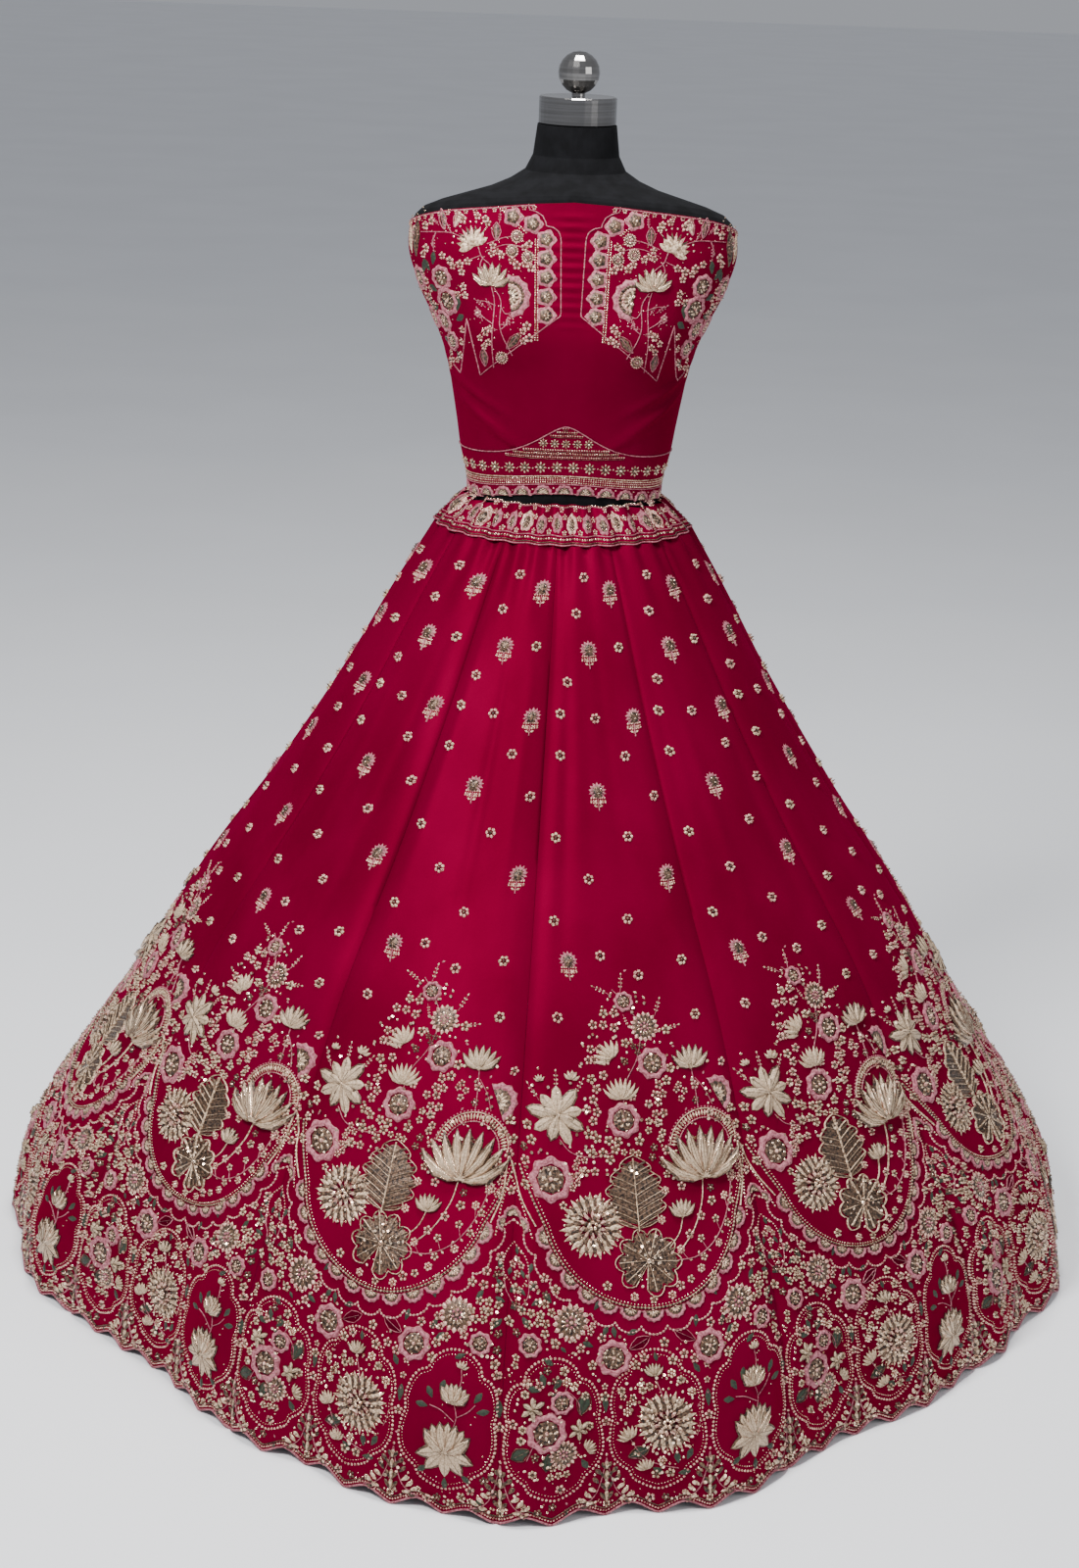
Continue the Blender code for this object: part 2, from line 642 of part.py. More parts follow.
def make_stand(steel, enamel):
    neck_top = NECK_RINGS[-1].height
    cap_bottom = neck_top + SEAM_GAP
    cap_top = cap_bottom + CAP_HEIGHT
    edge = CAP_RADIUS - CAP_EDGE
    turned(
        "form_neck_cap",
        [
            (0, cap_bottom),
            (edge, cap_bottom),
            (CAP_RADIUS, cap_bottom + CAP_EDGE),
            (CAP_RADIUS, cap_top - CAP_EDGE),
            (edge, cap_top),
            (0, cap_top),
        ],
        CAP_SIDES,
        steel,
    )
    stem_bottom = cap_top + SEAM_GAP
    start = math.acos(KNOB_STEM_RADIUS / KNOB_RADIUS)
    centre = stem_bottom + KNOB_STEM_HEIGHT + KNOB_RADIUS * math.sin(start)
    ball = [
        (KNOB_RADIUS * math.cos(t), centre + KNOB_RADIUS * math.sin(t))
        for t in np.linspace(-start, math.pi / 2, 10)[:-1]
    ]
    stem = [(0, stem_bottom), (KNOB_STEM_RADIUS, stem_bottom)]
    turned("form_knob", [*stem, *ball, (0, centre + KNOB_RADIUS)], KNOB_SIDES, steel)
    torso_bottom = FORM_LOWER_RINGS[0].height
    pole = [
        (0, BASE_BOSS_HEIGHT + SEAM_GAP),
        (POLE_RADIUS, BASE_BOSS_HEIGHT + SEAM_GAP),
        (POLE_RADIUS, torso_bottom - SEAM_GAP),
        (0, torso_bottom - SEAM_GAP),
    ]
    turned("form_pole", pole, POLE_SIDES, steel)
    base = [
        (0, 0),
        (BASE_RADIUS - BASE_BEVEL / 2, 0),
        (BASE_RADIUS, BASE_BEVEL / 2),
        (BASE_RADIUS, BASE_EDGE_HEIGHT - BASE_BEVEL),
        (BASE_RADIUS - BASE_BEVEL, BASE_EDGE_HEIGHT),
        (BASE_BOSS_RADIUS + BASE_CONE_WIDTH, BASE_EDGE_HEIGHT + BASE_CONE_RISE),
        (BASE_BOSS_RADIUS, BASE_BOSS_HEIGHT - BASE_CONE_RISE),
        (BASE_BOSS_RADIUS - BASE_BEVEL, BASE_BOSS_HEIGHT),
        (0, BASE_BOSS_HEIGHT),
    ]
    turned("form_base", base, BASE_SIDES, enamel)


def main():
    for old in list(bpy.data.objects):
        bpy.data.objects.remove(old)
    silk = material("silk", (0.33, 0.0, 0.045), 0.45)
    worked_silk = material("worked_silk", (0.42, 0.12, 0.12), 0.5)
    zari = material("zari", (0.62, 0.50, 0.30), 0.4, 0.6)
    jersey = material("jersey", (0.012, 0.013, 0.014), 0.8)
    steel = material("steel", (0.62, 0.62, 0.62), 0.2, 1.0)
    enamel = material("enamel", (0.02, 0.02, 0.02), 0.35)
    make_panels(silk)
    for number in range(PANELS):
        make_lotus(number, zari)
    make_band(worked_silk)
    make_blouse(silk, worked_silk)
    make_form(jersey)
    make_stand(steel, enamel)


main()
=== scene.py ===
"""Looks of a lehenga choli on a dress form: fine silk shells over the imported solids, raised zari and
bead embroidery, materials, soft studio light and the photo's camera. Metres, +Z up, the front is -Y.

Embroidery is laid out flat, in millimetres across and up its piece of cloth, and is then wrapped on
the cloth's surface. Every motif is drawn from a few sizes by the functions below."""

import math
from collections import namedtuple

import bpy
import numpy as np
from mathutils import Matrix, Vector


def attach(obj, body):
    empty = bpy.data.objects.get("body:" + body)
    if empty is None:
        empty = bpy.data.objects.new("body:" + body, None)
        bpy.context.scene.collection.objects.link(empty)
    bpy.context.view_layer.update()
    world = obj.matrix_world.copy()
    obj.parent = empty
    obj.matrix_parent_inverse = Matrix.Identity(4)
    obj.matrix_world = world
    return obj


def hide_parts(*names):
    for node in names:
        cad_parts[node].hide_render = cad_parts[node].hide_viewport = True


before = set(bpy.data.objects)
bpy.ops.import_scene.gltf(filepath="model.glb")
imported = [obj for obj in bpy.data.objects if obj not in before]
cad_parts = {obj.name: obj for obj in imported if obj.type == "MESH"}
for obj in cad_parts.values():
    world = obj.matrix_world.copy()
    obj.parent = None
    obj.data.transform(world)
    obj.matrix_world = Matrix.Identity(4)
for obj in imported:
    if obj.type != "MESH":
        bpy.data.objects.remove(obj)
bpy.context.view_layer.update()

MM = 0.001


def table(columns, *rows):
    """Rows of values under named columns."""
    row = namedtuple("Row", columns)
    return [row(*values) for values in rows]


# Sizes shared with the solids
SKIRT_WALL = 0.0020
BLOUSE_WALL = 0.0016
SEAM_GAP = 0.0003
PANELS = 12
FIRST_SEAM = math.radians(-3.0)
PANEL_ANGLE = 2 * math.pi / PANELS
SKIRT_TOP = 0.9985
SCALLOPS_PER_PANEL = 6
SCALLOP_DEPTH = 0.013
SCALLOP_STRAIGHT_SHARE = 0.35
SCALLOP_ROUND_POWER = 1.5
GATHERS_PER_PANEL = 3
GATHER_REACH = 0.0026
GATHER_FADE = 0.14
SEAM_DIP = 0.0045
SEAM_DIP_WIDTH = 0.014
HEM_LOBE = 0.034
HEM_LOBE_FRONT = 0.003
HEM_LOBE_TOP = 0.52

SKIRT_RINGS = table(
    "height half_width depth_share",
    (0.00, 0.696, 0.990), (0.06, 0.688, 0.990), (0.13, 0.672, 0.985), (0.22, 0.633, 0.980),
    (0.35, 0.558, 0.970), (0.50, 0.476, 0.950), (0.65, 0.373, 0.920), (0.80, 0.279, 0.880),
    (0.92, 0.212, 0.830), (1.00, 0.163, 0.800),
)

HEM_FOLDS = table(
    "azimuth_deg reach spread_deg top",
    (-2, 0.012, 5.0, 0.62), (8, -0.013, 4.5, 0.40), (19, 0.014, 6.0, 0.45), (34, -0.009, 6.0, 0.42),
    (47, 0.012, 6.5, 0.50), (60, 0.010, 4.0, 0.40), (67, -0.008, 4.0, 0.40), (76, 0.007, 4.5, 0.46),
    (84, -0.010, 4.0, 0.36), (97, 0.009, 5.0, 0.42), (112, -0.012, 6.0, 0.46), (127, 0.011, 5.0, 0.50),
    (143, -0.010, 6.5, 0.42), (158, 0.012, 5.5, 0.44), (171, -0.009, 5.0, 0.38), (183, 0.010, 5.0, 0.52),
    (197, -0.011, 6.0, 0.44), (212, 0.012, 6.0, 0.46), (228, -0.009, 5.5, 0.40), (243, 0.010, 5.0, 0.48),
    (257, -0.012, 6.0, 0.44), (271, 0.006, 4.5, 0.36), (279, -0.012, 4.0, 0.36), (291, 0.004, 5.0, 0.44),
    (303, -0.010, 6.0, 0.46), (313, -0.016, 6.0, 0.50), (329, 0.007, 6.0, 0.50), (337, -0.010, 3.5, 0.36),
    (345, 0.004, 4.0, 0.40), (352, -0.004, 3.0, 0.30),
)

BAND_GATHERS = 28
BandRim = namedtuple("BandRim", "height_front height_side height_back")
BAND_TOP = BandRim(1.0450, 1.0340, 1.0360)
BAND_BOTTOM_HEIGHT = SKIRT_TOP + SEAM_GAP
BAND_BOTTOM_CREST = 0.1665
BAND_BOTTOM_DEPTH_SHARE = 0.81
BAND_BOTTOM_AMPLITUDE = 0.0028
BAND_TOP_CREST_OUT = 0.0090
BAND_WALL = 0.0020
BAND_SEAM_RADIUS = 0.120
FORM_CLEARANCE = 0.0005

BLOUSE_RINGS = table(
    "height half_width front back power",
    (1.030, 0.1210, 0.1005, 0.0860, 2.20), (1.060, 0.1245, 0.1010, 0.0850, 2.20),
    (1.097, 0.1335, 0.1040, 0.0850, 2.25), (1.130, 0.1385, 0.1085, 0.0870, 2.30),
    (1.166, 0.1445, 0.1150, 0.0900, 2.30), (1.204, 0.1515, 0.1235, 0.0940, 2.30),
    (1.253, 0.1685, 0.1290, 0.0980, 2.35), (1.300, 0.1905, 0.1235, 0.1000, 2.40),
    (1.350, 0.2035, 0.1120, 0.0990, 2.50), (1.375, 0.2010, 0.1050, 0.0960, 2.50),
    (1.410, 0.1930, 0.0960, 0.0910, 2.45),
)
CUP_AZIMUTH = math.radians(34)
CUP_HEIGHT = 1.247
CUP_REACH = 0.014
CUP_SPREAD = math.radians(20)
CUP_RISE = 0.040
SIDE_SEAM = math.radians(96)
BLOUSE_SEAM_RADIUS = 0.130
NECKLINE = table(
    "turn_deg height",
    (0, 1.4110), (30, 1.4075), (50, 1.4020), (62, 1.3970), (72, 1.3890), (82, 1.3790), (96, 1.3710),
    (125, 1.3740), (152, 1.3810), (180, 1.3840),
)
BELT_TOP = 1.100
BELT_PEAK = 0.045
BELT_PEAK_WIDTH = 0.050
BELT_PEAK_POWER = 1.6
BELT_SEAM_HALF_WIDTH = 0.105
BELT_BOTTOM = BandRim(1.0570, 1.0400, 1.0440)

# The photo's camera
CAMERA_PLACE = (-0.018, -3.2, 1.75)
CAMERA_PITCH = math.radians(19.1)
CAMERA_ROLL = math.radians(2.0)
CAMERA_FOCAL_PIXELS = 2600
CAMERA_LONG_SIDE_PIXELS = 1600
CAMERA_SENSOR = 36.0


# Surfaces


def curve_through(rows, column, at):
    """A smooth curve through a column of a table, over its first column, without overshooting."""
    keys, values = np.array([(row[0], getattr(row, column)) for row in rows], float).T
    steps = np.diff(keys)
    rises = np.diff(values) / steps
    slopes = np.concatenate([rises[:1], np.zeros(len(rises) - 1), rises[-1:]])
    product = rises[:-1] * rises[1:]
    both = np.flatnonzero(product > 0)
    slopes[both + 1] = 2 * product[both] / (rises[both] + rises[both + 1])
    at = np.clip(at, keys[0], keys[-1])
    i = np.clip(np.searchsorted(keys, at, side="right") - 1, 0, len(steps) - 1)
    h = steps[i]
    t = (at - keys[i]) / h
    start = values[i] * (1 + 2 * t) * (1 - t) ** 2 + slopes[i] * h * t * (1 - t) ** 2
    return start + values[i + 1] * t * t * (3 - 2 * t) + slopes[i + 1] * h * t * t * (t - 1)


def fade(height, top):
    """1 at the floor, falling smoothly to 0 at top."""
    t = np.clip(1 - height / top, 0, 1)
    return t * t * (3 - 2 * t)


def angle_from(azimuth, centre):
    """The signed angle from centre, between -pi and pi."""
    return (azimuth - centre + math.pi) % (2 * math.pi) - math.pi


def rim_height(rim, azimuth):
    """A rim's height, which runs smoothly from the front over the sides to the back."""
    c = np.cos(azimuth)
    end = np.where(c > 0, rim.height_front, rim.height_back)
    return rim.height_side + (end - rim.height_side) * c * c


def ring_radius(azimuth, half_width, depth, power):
    across = np.abs(np.sin(azimuth) / half_width) ** power
    along = np.abs(np.cos(azimuth) / depth) ** power
    return (across + along) ** (-1 / power)


def at(azimuth, radius, height):
    """Points from azimuths, radii and heights, which broadcast together."""
    azimuth, radius, height = np.broadcast_arrays(azimuth, radius, height)
    return np.stack([radius * np.sin(azimuth), -radius * np.cos(azimuth), height], axis=-1)


# Soft creases that the silk has between its large folds: where each one runs, and how deep it is
SKIRT_CREASES = table(
    "azimuth_deg drift_deg reach spread_deg low high",
    (2.5, 1.5, -0.0022, 1.3, 0.46, 0.92), (6.0, 0.8, 0.0018, 1.6, 0.52, 0.96),
    (14.0, -2.0, -0.0020, 1.7, 0.58, 0.98), (22.5, 1.2, 0.0016, 1.5, 0.40, 0.80),
    (31.0, 2.0, -0.0024, 1.4, 0.55, 0.97), (38.0, -1.5, 0.0020, 1.8, 0.48, 0.90),
    (51.0, 2.5, -0.0026, 1.8, 0.42, 0.94), (66.0, -2.0, 0.0020, 2.0, 0.50, 0.95),
    (81.0, 2.0, -0.0024, 1.8, 0.46, 0.92), (98.0, -1.5, 0.0018, 2.0, 0.52, 0.94),
    (109.0, 2.0, -0.0022, 1.7, 0.44, 0.90), (124.0, 1.5, 0.0020, 1.6, 0.50, 0.96),
    (139.0, -2.0, -0.0024, 1.9, 0.46, 0.93), (155.0, 1.0, 0.0018, 1.6, 0.54, 0.97),
    (169.0, -1.5, -0.0022, 1.8, 0.44, 0.90), (186.0, 2.0, 0.0020, 1.7, 0.50, 0.95),
    (201.0, 1.0, -0.0024, 1.8, 0.46, 0.93), (218.0, -2.0, 0.0018, 1.9, 0.52, 0.94),
    (233.0, 1.5, -0.0022, 1.7, 0.44, 0.92), (249.0, -1.0, 0.0020, 1.8, 0.50, 0.96),
    (262.0, 2.0, -0.0024, 1.8, 0.46, 0.90), (277.0, -2.0, 0.0020, 1.7, 0.52, 0.95),
    (292.0, 1.5, -0.0022, 1.8, 0.44, 0.93), (306.0, -1.5, 0.0022, 1.6, 0.50, 0.97),
    (318.0, 2.0, -0.0026, 1.7, 0.46, 0.94), (331.0, 1.0, 0.0018, 1.5, 0.52, 0.96),
    (343.0, -1.2, -0.0024, 1.4, 0.48, 0.95), (351.0, 0.8, 0.0018, 1.4, 0.54, 0.90),
)
SEAM_GROOVE = 0.0032
SEAM_GROOVE_WIDTH = 0.0034


def skirt_radius(azimuth, height):
    """Distance from the axis to the skirt's outer face, as the solids have it, with finer creases."""
    half_width = curve_through(SKIRT_RINGS, "half_width", height)
    depth = half_width * curve_through(SKIRT_RINGS, "depth_share", height)
    radius = half_width * depth / np.hypot(depth * np.sin(azimuth), half_width * np.cos(azimuth))
    lobe = HEM_LOBE + HEM_LOBE_FRONT * np.cos(azimuth)
    radius = radius + lobe * np.cos(4 * azimuth) * fade(height, HEM_LOBE_TOP)
    for fold in HEM_FOLDS:
        away = angle_from(azimuth, math.radians(fold.azimuth_deg)) / math.radians(fold.spread_deg)
        radius = radius + fold.reach * np.exp(-away * away) * fade(height, fold.top)
    gathered = np.clip(1 - (SKIRT_TOP - height) / GATHER_FADE, 0, 1) ** 2
    radius = radius + GATHER_REACH * gathered * np.cos(GATHERS_PER_PANEL * PANELS * (azimuth - FIRST_SEAM))
    from_seam = radius * np.abs(angle_from((azimuth - FIRST_SEAM) * PANELS, 0)) / PANELS
    for depth, width in ((SEAM_DIP, SEAM_DIP_WIDTH), (SEAM_GROOVE, SEAM_GROOVE_WIDTH)):
        radius = radius - depth * np.exp(-((from_seam / width) ** 2))
    for crease in SKIRT_CREASES:
        along = (height - crease.low) / (crease.high - crease.low)
        centre = math.radians(crease.azimuth_deg) + math.radians(crease.drift_deg) * (along - 0.5)
        away = angle_from(azimuth, centre) / math.radians(crease.spread_deg)
        shown = np.sin(math.pi * np.clip(along, 0, 1)) ** 2
        radius = radius + crease.reach * shown * np.exp(-away * away)
    return radius


# Small creases of the blouse: across its plain centre panel, and slanting over its sides
BlouseCrease = namedtuple("BlouseCrease", "azimuth_deg height width_deg spread reach slant")
BLOUSE_CREASES = (
    *(
        BlouseCrease(0, 1.268 + 0.0115 * k, 10.5 + k % 3, 0.0028, reach * MM, 0.0)
        for k, reach in enumerate((0.8, 1.4, 2.1, 1.5, 2.6, 2.2, 3.0, 2.0, 2.9, 1.9, 2.5, 1.6))
    ),
    BlouseCrease(-50, 1.146, 22, 0.0065, 0.0058, -0.085),
    BlouseCrease(-56, 1.180, 20, 0.0055, 0.0046, -0.070),
    BlouseCrease(50, 1.150, 22, 0.0065, 0.0058, 0.085),
    BlouseCrease(56, 1.186, 20, 0.0055, 0.0046, 0.070),
    BlouseCrease(-40, 1.124, 18, 0.0045, 0.0022, -0.060),
    BlouseCrease(42, 1.128, 18, 0.0045, 0.0022, 0.055),
)


def blouse_radius(azimuth, height):
    """Distance from the axis to the blouse's outer face."""
    columns = ("half_width", "front", "back", "power")
    half_width, front, back, power = (curve_through(BLOUSE_RINGS, column, height) for column in columns)
    depth = np.where(np.cos(azimuth) > 0, front, back)
    radius = ring_radius(azimuth, half_width, depth, power)
    for side in (-1, 1):
        across = angle_from(azimuth, side * CUP_AZIMUTH) / CUP_SPREAD
        up = (height - CUP_HEIGHT) / CUP_RISE
        radius = radius + CUP_REACH * np.exp(-across * across - up * up)
    turn = angle_from(azimuth, 0)
    for crease in BLOUSE_CREASES:
        across = (turn - math.radians(crease.azimuth_deg)) / math.radians(crease.width_deg)
        middle = crease.height + crease.slant * (turn - math.radians(crease.azimuth_deg))
        up = (height - middle) / crease.spread
        radius = radius + crease.reach * np.exp(-across * across - up * up)
    return radius


def neckline(azimuth):
    return curve_through(NECKLINE, "height", np.degrees(np.abs(angle_from(azimuth, 0))))


def belt_seam(azimuth):
    """Height of the seam between the bodice and the belt, with its peak at the front."""
    across = BELT_SEAM_HALF_WIDTH * np.sin(np.clip(angle_from(azimuth, 0), -math.pi / 2, math.pi / 2))
    rise = np.exp(-np.abs(across / BELT_PEAK_WIDTH) ** BELT_PEAK_POWER)
    return BELT_TOP + BELT_PEAK * np.where(np.cos(azimuth) > 0, rise, 0.0)


def band_radius(azimuth, level):
    """Distance from the axis to the waistband's outer face, from its top edge, 0, to its lower, 1."""
    wave = np.cos(BAND_GATHERS * azimuth)
    top_height = rim_height(BAND_TOP, azimuth)
    bottom_depth = BAND_BOTTOM_CREST * BAND_BOTTOM_DEPTH_SHARE
    bottom = ring_radius(azimuth, BAND_BOTTOM_CREST, bottom_depth, 2.0) - BAND_BOTTOM_AMPLITUDE
    valley = blouse_radius(azimuth, top_height) - BLOUSE_WALL + BAND_WALL
    crest = valley - FORM_CLEARANCE + BAND_TOP_CREST_OUT
    mean = (valley + crest) / 2 * (1 - level) + bottom * level
    amplitude = (crest - valley) / 2 * (1 - level) + BAND_BOTTOM_AMPLITUDE * level
    return mean + amplitude * wave


def scallop_height(share):
    """Height of the hem's edge above the floor at a share of the panel's width."""
    place = (share * SCALLOPS_PER_PANEL) % 1.0
    from_tip = 1 - np.abs(2 * place - 1)
    rounded = np.sin(from_tip * math.pi / 2) ** SCALLOP_ROUND_POWER
    return SCALLOP_DEPTH * (SCALLOP_STRAIGHT_SHARE * from_tip + (1 - SCALLOP_STRAIGHT_SHARE) * rounded)


# The skirt's slant: distance up the cloth from the floor, against height and mean radius
SLANT_HEIGHTS = np.linspace(0, SKIRT_TOP, 400)
SLANT_AZIMUTHS = np.linspace(0, 2 * math.pi, 72, endpoint=False)
SLANT_RADII = skirt_radius(SLANT_AZIMUTHS[None, :], SLANT_HEIGHTS[:, None]).mean(axis=1)
SLANTS = np.concatenate([[0], np.cumsum(np.hypot(np.diff(SLANT_RADII), np.diff(SLANT_HEIGHTS)))])


def panel_half_width(up):
    """Half of a panel's width at a distance up the cloth, both in millimetres."""
    return np.interp(up * MM, SLANTS, SLANT_RADII) * PANEL_ANGLE / 2 / MM


# How much the skirt's embroidery is raised over the motifs' own rise
RELIEF = 1.4


def on_panel(number):
    """The wrap of a panel: flat points (mm across, up and out) to points in space."""
    centre = FIRST_SEAM + (number + 0.5) * PANEL_ANGLE

    def wrap(flat):
        across, up, out = (flat * MM).T
        out = np.where(out > 0, out * RELIEF, out)
        radius = np.interp(up, SLANTS, SLANT_RADII)
        height = np.interp(up, SLANTS, SLANT_HEIGHTS) + np.minimum(up, 0)
        azimuth = centre + across / radius
        step = 0.003
        surface = skirt_radius(azimuth, np.clip(height, 0, SKIRT_TOP))
        above = skirt_radius(azimuth, np.clip(height + step, 0, SKIRT_TOP))
        slope = (surface - above) / step
        size = np.hypot(1, slope)
        return at(azimuth, surface + out / size, height + out * slope / size)

    return wrap


ARC_AZIMUTHS = np.linspace(-math.pi, math.pi, 361)


def arc_table(heights):
    """Distance round the blouse from the centre front, for each height (rows) and ARC_AZIMUTHS."""
    points = at(ARC_AZIMUTHS[None, :], blouse_radius(ARC_AZIMUTHS[None, :], heights[:, None]), 0.0)
    steps = np.linalg.norm(np.diff(points, axis=1), axis=2)
    arcs = np.concatenate([np.zeros((len(heights), 1)), np.cumsum(steps, axis=1)], axis=1)
    return arcs - arcs[:, len(ARC_AZIMUTHS) // 2][:, None]


ARC_HEIGHTS = np.linspace(1.03, 1.42, 79)
ARCS = arc_table(ARC_HEIGHTS)


def on_blouse(flat):
    """Flat points (mm round from the centre front, height, out) to points in space."""
    across, height, out = (np.asarray(flat) * MM).T
    row = (height - ARC_HEIGHTS[0]) / (ARC_HEIGHTS[1] - ARC_HEIGHTS[0])
    row = np.clip(row, 0, len(ARC_HEIGHTS) - 1.001)
    low = row.astype(int)
    share = row - low
    azimuth = np.empty_like(across)
    for r in np.unique(low):
        here = low == r
        lower = np.interp(across[here], ARCS[r], ARC_AZIMUTHS)
        upper = np.interp(across[here], ARCS[r + 1], ARC_AZIMUTHS)
        azimuth[here] = lower * (1 - share[here]) + upper * share[here]
    return blouse_point(azimuth, height, out)


def blouse_point(azimuth, height, out):
    step = 0.002
    radius = blouse_radius(azimuth, height)
    slope = (blouse_radius(azimuth, height - step) - blouse_radius(azimuth, height + step)) / (2 * step)
    size = np.hypot(1, slope)
    return at(azimuth, radius + out / size, height + out * slope / size)


BAND_LENGTH_MM = 445.0
# How much the waistband's raised work points upwards
BAND_LEAN = 0.3


def on_band(flat):
    """Flat points (mm round from the centre front, up from the lower edge, out) on the waistband."""
    across, up, out = np.asarray(flat).T
    azimuth = across / BAND_LENGTH_MM * math.pi
    top = rim_height(BAND_TOP, azimuth)
    level = 1 - up * MM / (top - BAND_BOTTOM_HEIGHT)
    radius = band_radius(azimuth, level)
    height = top + (BAND_BOTTOM_HEIGHT - top) * level
    return at(azimuth, radius + out * MM, height + out * MM * BAND_LEAN)


# Materials


def set_shader(made, socket, value):
    made.node_tree.nodes["Principled BSDF"].inputs[socket].default_value = value


def shader_material(name, colour, roughness, metallic=0.0, sheen=0.0, coat=0.0):
    made = bpy.data.materials.new(name)
    made.use_nodes = True
    set_shader(made, "Base Color", (*colour, 1.0))
    set_shader(made, "Roughness", roughness)
    set_shader(made, "Metallic", metallic)
    set_shader(made, "Sheen Weight", sheen)
    set_shader(made, "Coat Weight", coat)
    return made


def add_node(made, kind, **values):
    node = made.node_tree.nodes.new(kind)
    for socket, value in values.items():
        node.inputs[socket].default_value = value
    return node


def join(made, source, output, target, socket):
    made.node_tree.links.new(source.outputs[output], target.inputs[socket])


def noise(made, scale, detail=3.0, stretch=(1, 1, 1)):
    place = add_node(made, "ShaderNodeTexCoord")
    scaled = add_node(made, "ShaderNodeMapping", Scale=stretch)
    join(made, place, "Object", scaled, "Vector")
    texture = add_node(made, "ShaderNodeTexNoise", Scale=scale, Detail=detail)
    join(made, scaled, "Vector", texture, "Vector")
    return texture


def colour_between(made, texture, low, high, start=0.35, end=0.65):
    """Colours the surface between two colours by a texture."""
    ramp = add_node(made, "ShaderNodeValToRGB")
    for stop, place, colour in zip(ramp.color_ramp.elements, (start, end), (low, high)):
        stop.position = place
        stop.color = (*colour, 1)
    join(made, texture, "Fac", ramp, "Fac")
    join(made, ramp, "Color", made.node_tree.nodes["Principled BSDF"], "Base Color")


def bump(made, texture, strength, distance):
    lifted = add_node(made, "ShaderNodeBump", Strength=strength, Distance=distance)
    join(made, texture, "Fac", lifted, "Height")
    join(made, lifted, "Normal", made.node_tree.nodes["Principled BSDF"], "Normal")


def silk_material(name, low, high):
    """Raw silk satin: a fine slubbed weave, a soft sheen and slow changes of tone."""
    made = shader_material(name, high, 0.50, metallic=0.22, sheen=0.05)
    set_shader(made, "Sheen Roughness", 0.45)
    set_shader(made, "Sheen Tint", (1.0, 0.0, 0.20, 1))
    set_shader(made, "Specular IOR Level", 0.0)
    set_shader(made, "Specular Tint", (1.0, 0.02, 0.30, 1))
    colour_between(made, noise(made, 9.0, 4.0, (1, 1, 0.35)), low, high)
    bump(made, noise(made, 1.0, 2.0, (900, 900, 2600)), 0.22, 0.0006)
    return made


def thread_material(name, low, high, roughness, metallic, scale=900.0, depth=0.5):
    made = shader_material(name, high, roughness, metallic, sheen=0.03)
    colour_between(made, noise(made, scale * 0.40, 2.0), low, high, 0.38, 0.62)
    bump(made, noise(made, scale, 2.0), depth, 0.0009)
    return made


SILK = silk_material("silk", (0.104, 0.0, 0.012), (0.134, 0.0, 0.017))
SILK_INSIDE = silk_material("silk_reverse", (0.080, 0.0, 0.010), (0.105, 0.0, 0.014))
# The seventh thread is a darker copy of the silk: painted shade for the dark gaps between stitches, laid
# under the hearts of dahlias and dots and inside the rose-rimmed leaves.
PALE, ANTIQUE, ROSE, PEARL, LEAF, SEQUIN, PAINTED_SHADE, PADDED = range(8)
THREADS = (
    thread_material("zari_pale", (0.22, 0.130, 0.075), (0.78, 0.575, 0.39), 0.40, 0.20),
    thread_material("zari_antique", (0.014, 0.007, 0.005), (0.155, 0.088, 0.052), 0.34, 0.45),
    thread_material("thread_rose", (0.20, 0.042, 0.060), (0.44, 0.155, 0.185), 0.70, 0.0),
    thread_material("bead_blush", (0.25, 0.085, 0.066), (0.80, 0.495, 0.385), 0.18, 0.12),
    thread_material("thread_leaf", (0.004, 0.009, 0.003), (0.016, 0.029, 0.009), 0.65, 0.0),
    thread_material("sequin_gold", (0.40, 0.22, 0.14), (0.98, 0.76, 0.55), 0.14, 0.85, 500.0, 0.3),
    # Darker silk: painted shade for the gaps under and between stitches
    silk_material("silk_painted_shade", (0.050, 0.0, 0.006), (0.070, 0.0, 0.009)),
    thread_material("zari_padded", (0.34, 0.235, 0.145), (0.62, 0.46, 0.315), 0.42, 0.15, 1400.0, 0.7),
)


# Embroidery

# A motif of more than this many points keeps the ground under it clear of fillers
SPOT_POINTS = 24
SPOT_SHARE = 0.86
# Height of the work's edges over the cloth's face, in millimetres: they are sunk in it
DIP = -0.5
# How far a sequin may lean, as a slope
SEQUIN_TILT = 0.45


def polar(degrees, radius, middle=(0.0, 0.0)):
    """The place at an angle clockwise from straight up, and a distance, from a middle."""
    angle = math.radians(degrees)
    return middle[0] + radius * math.sin(angle), middle[1] + radius * math.cos(angle)


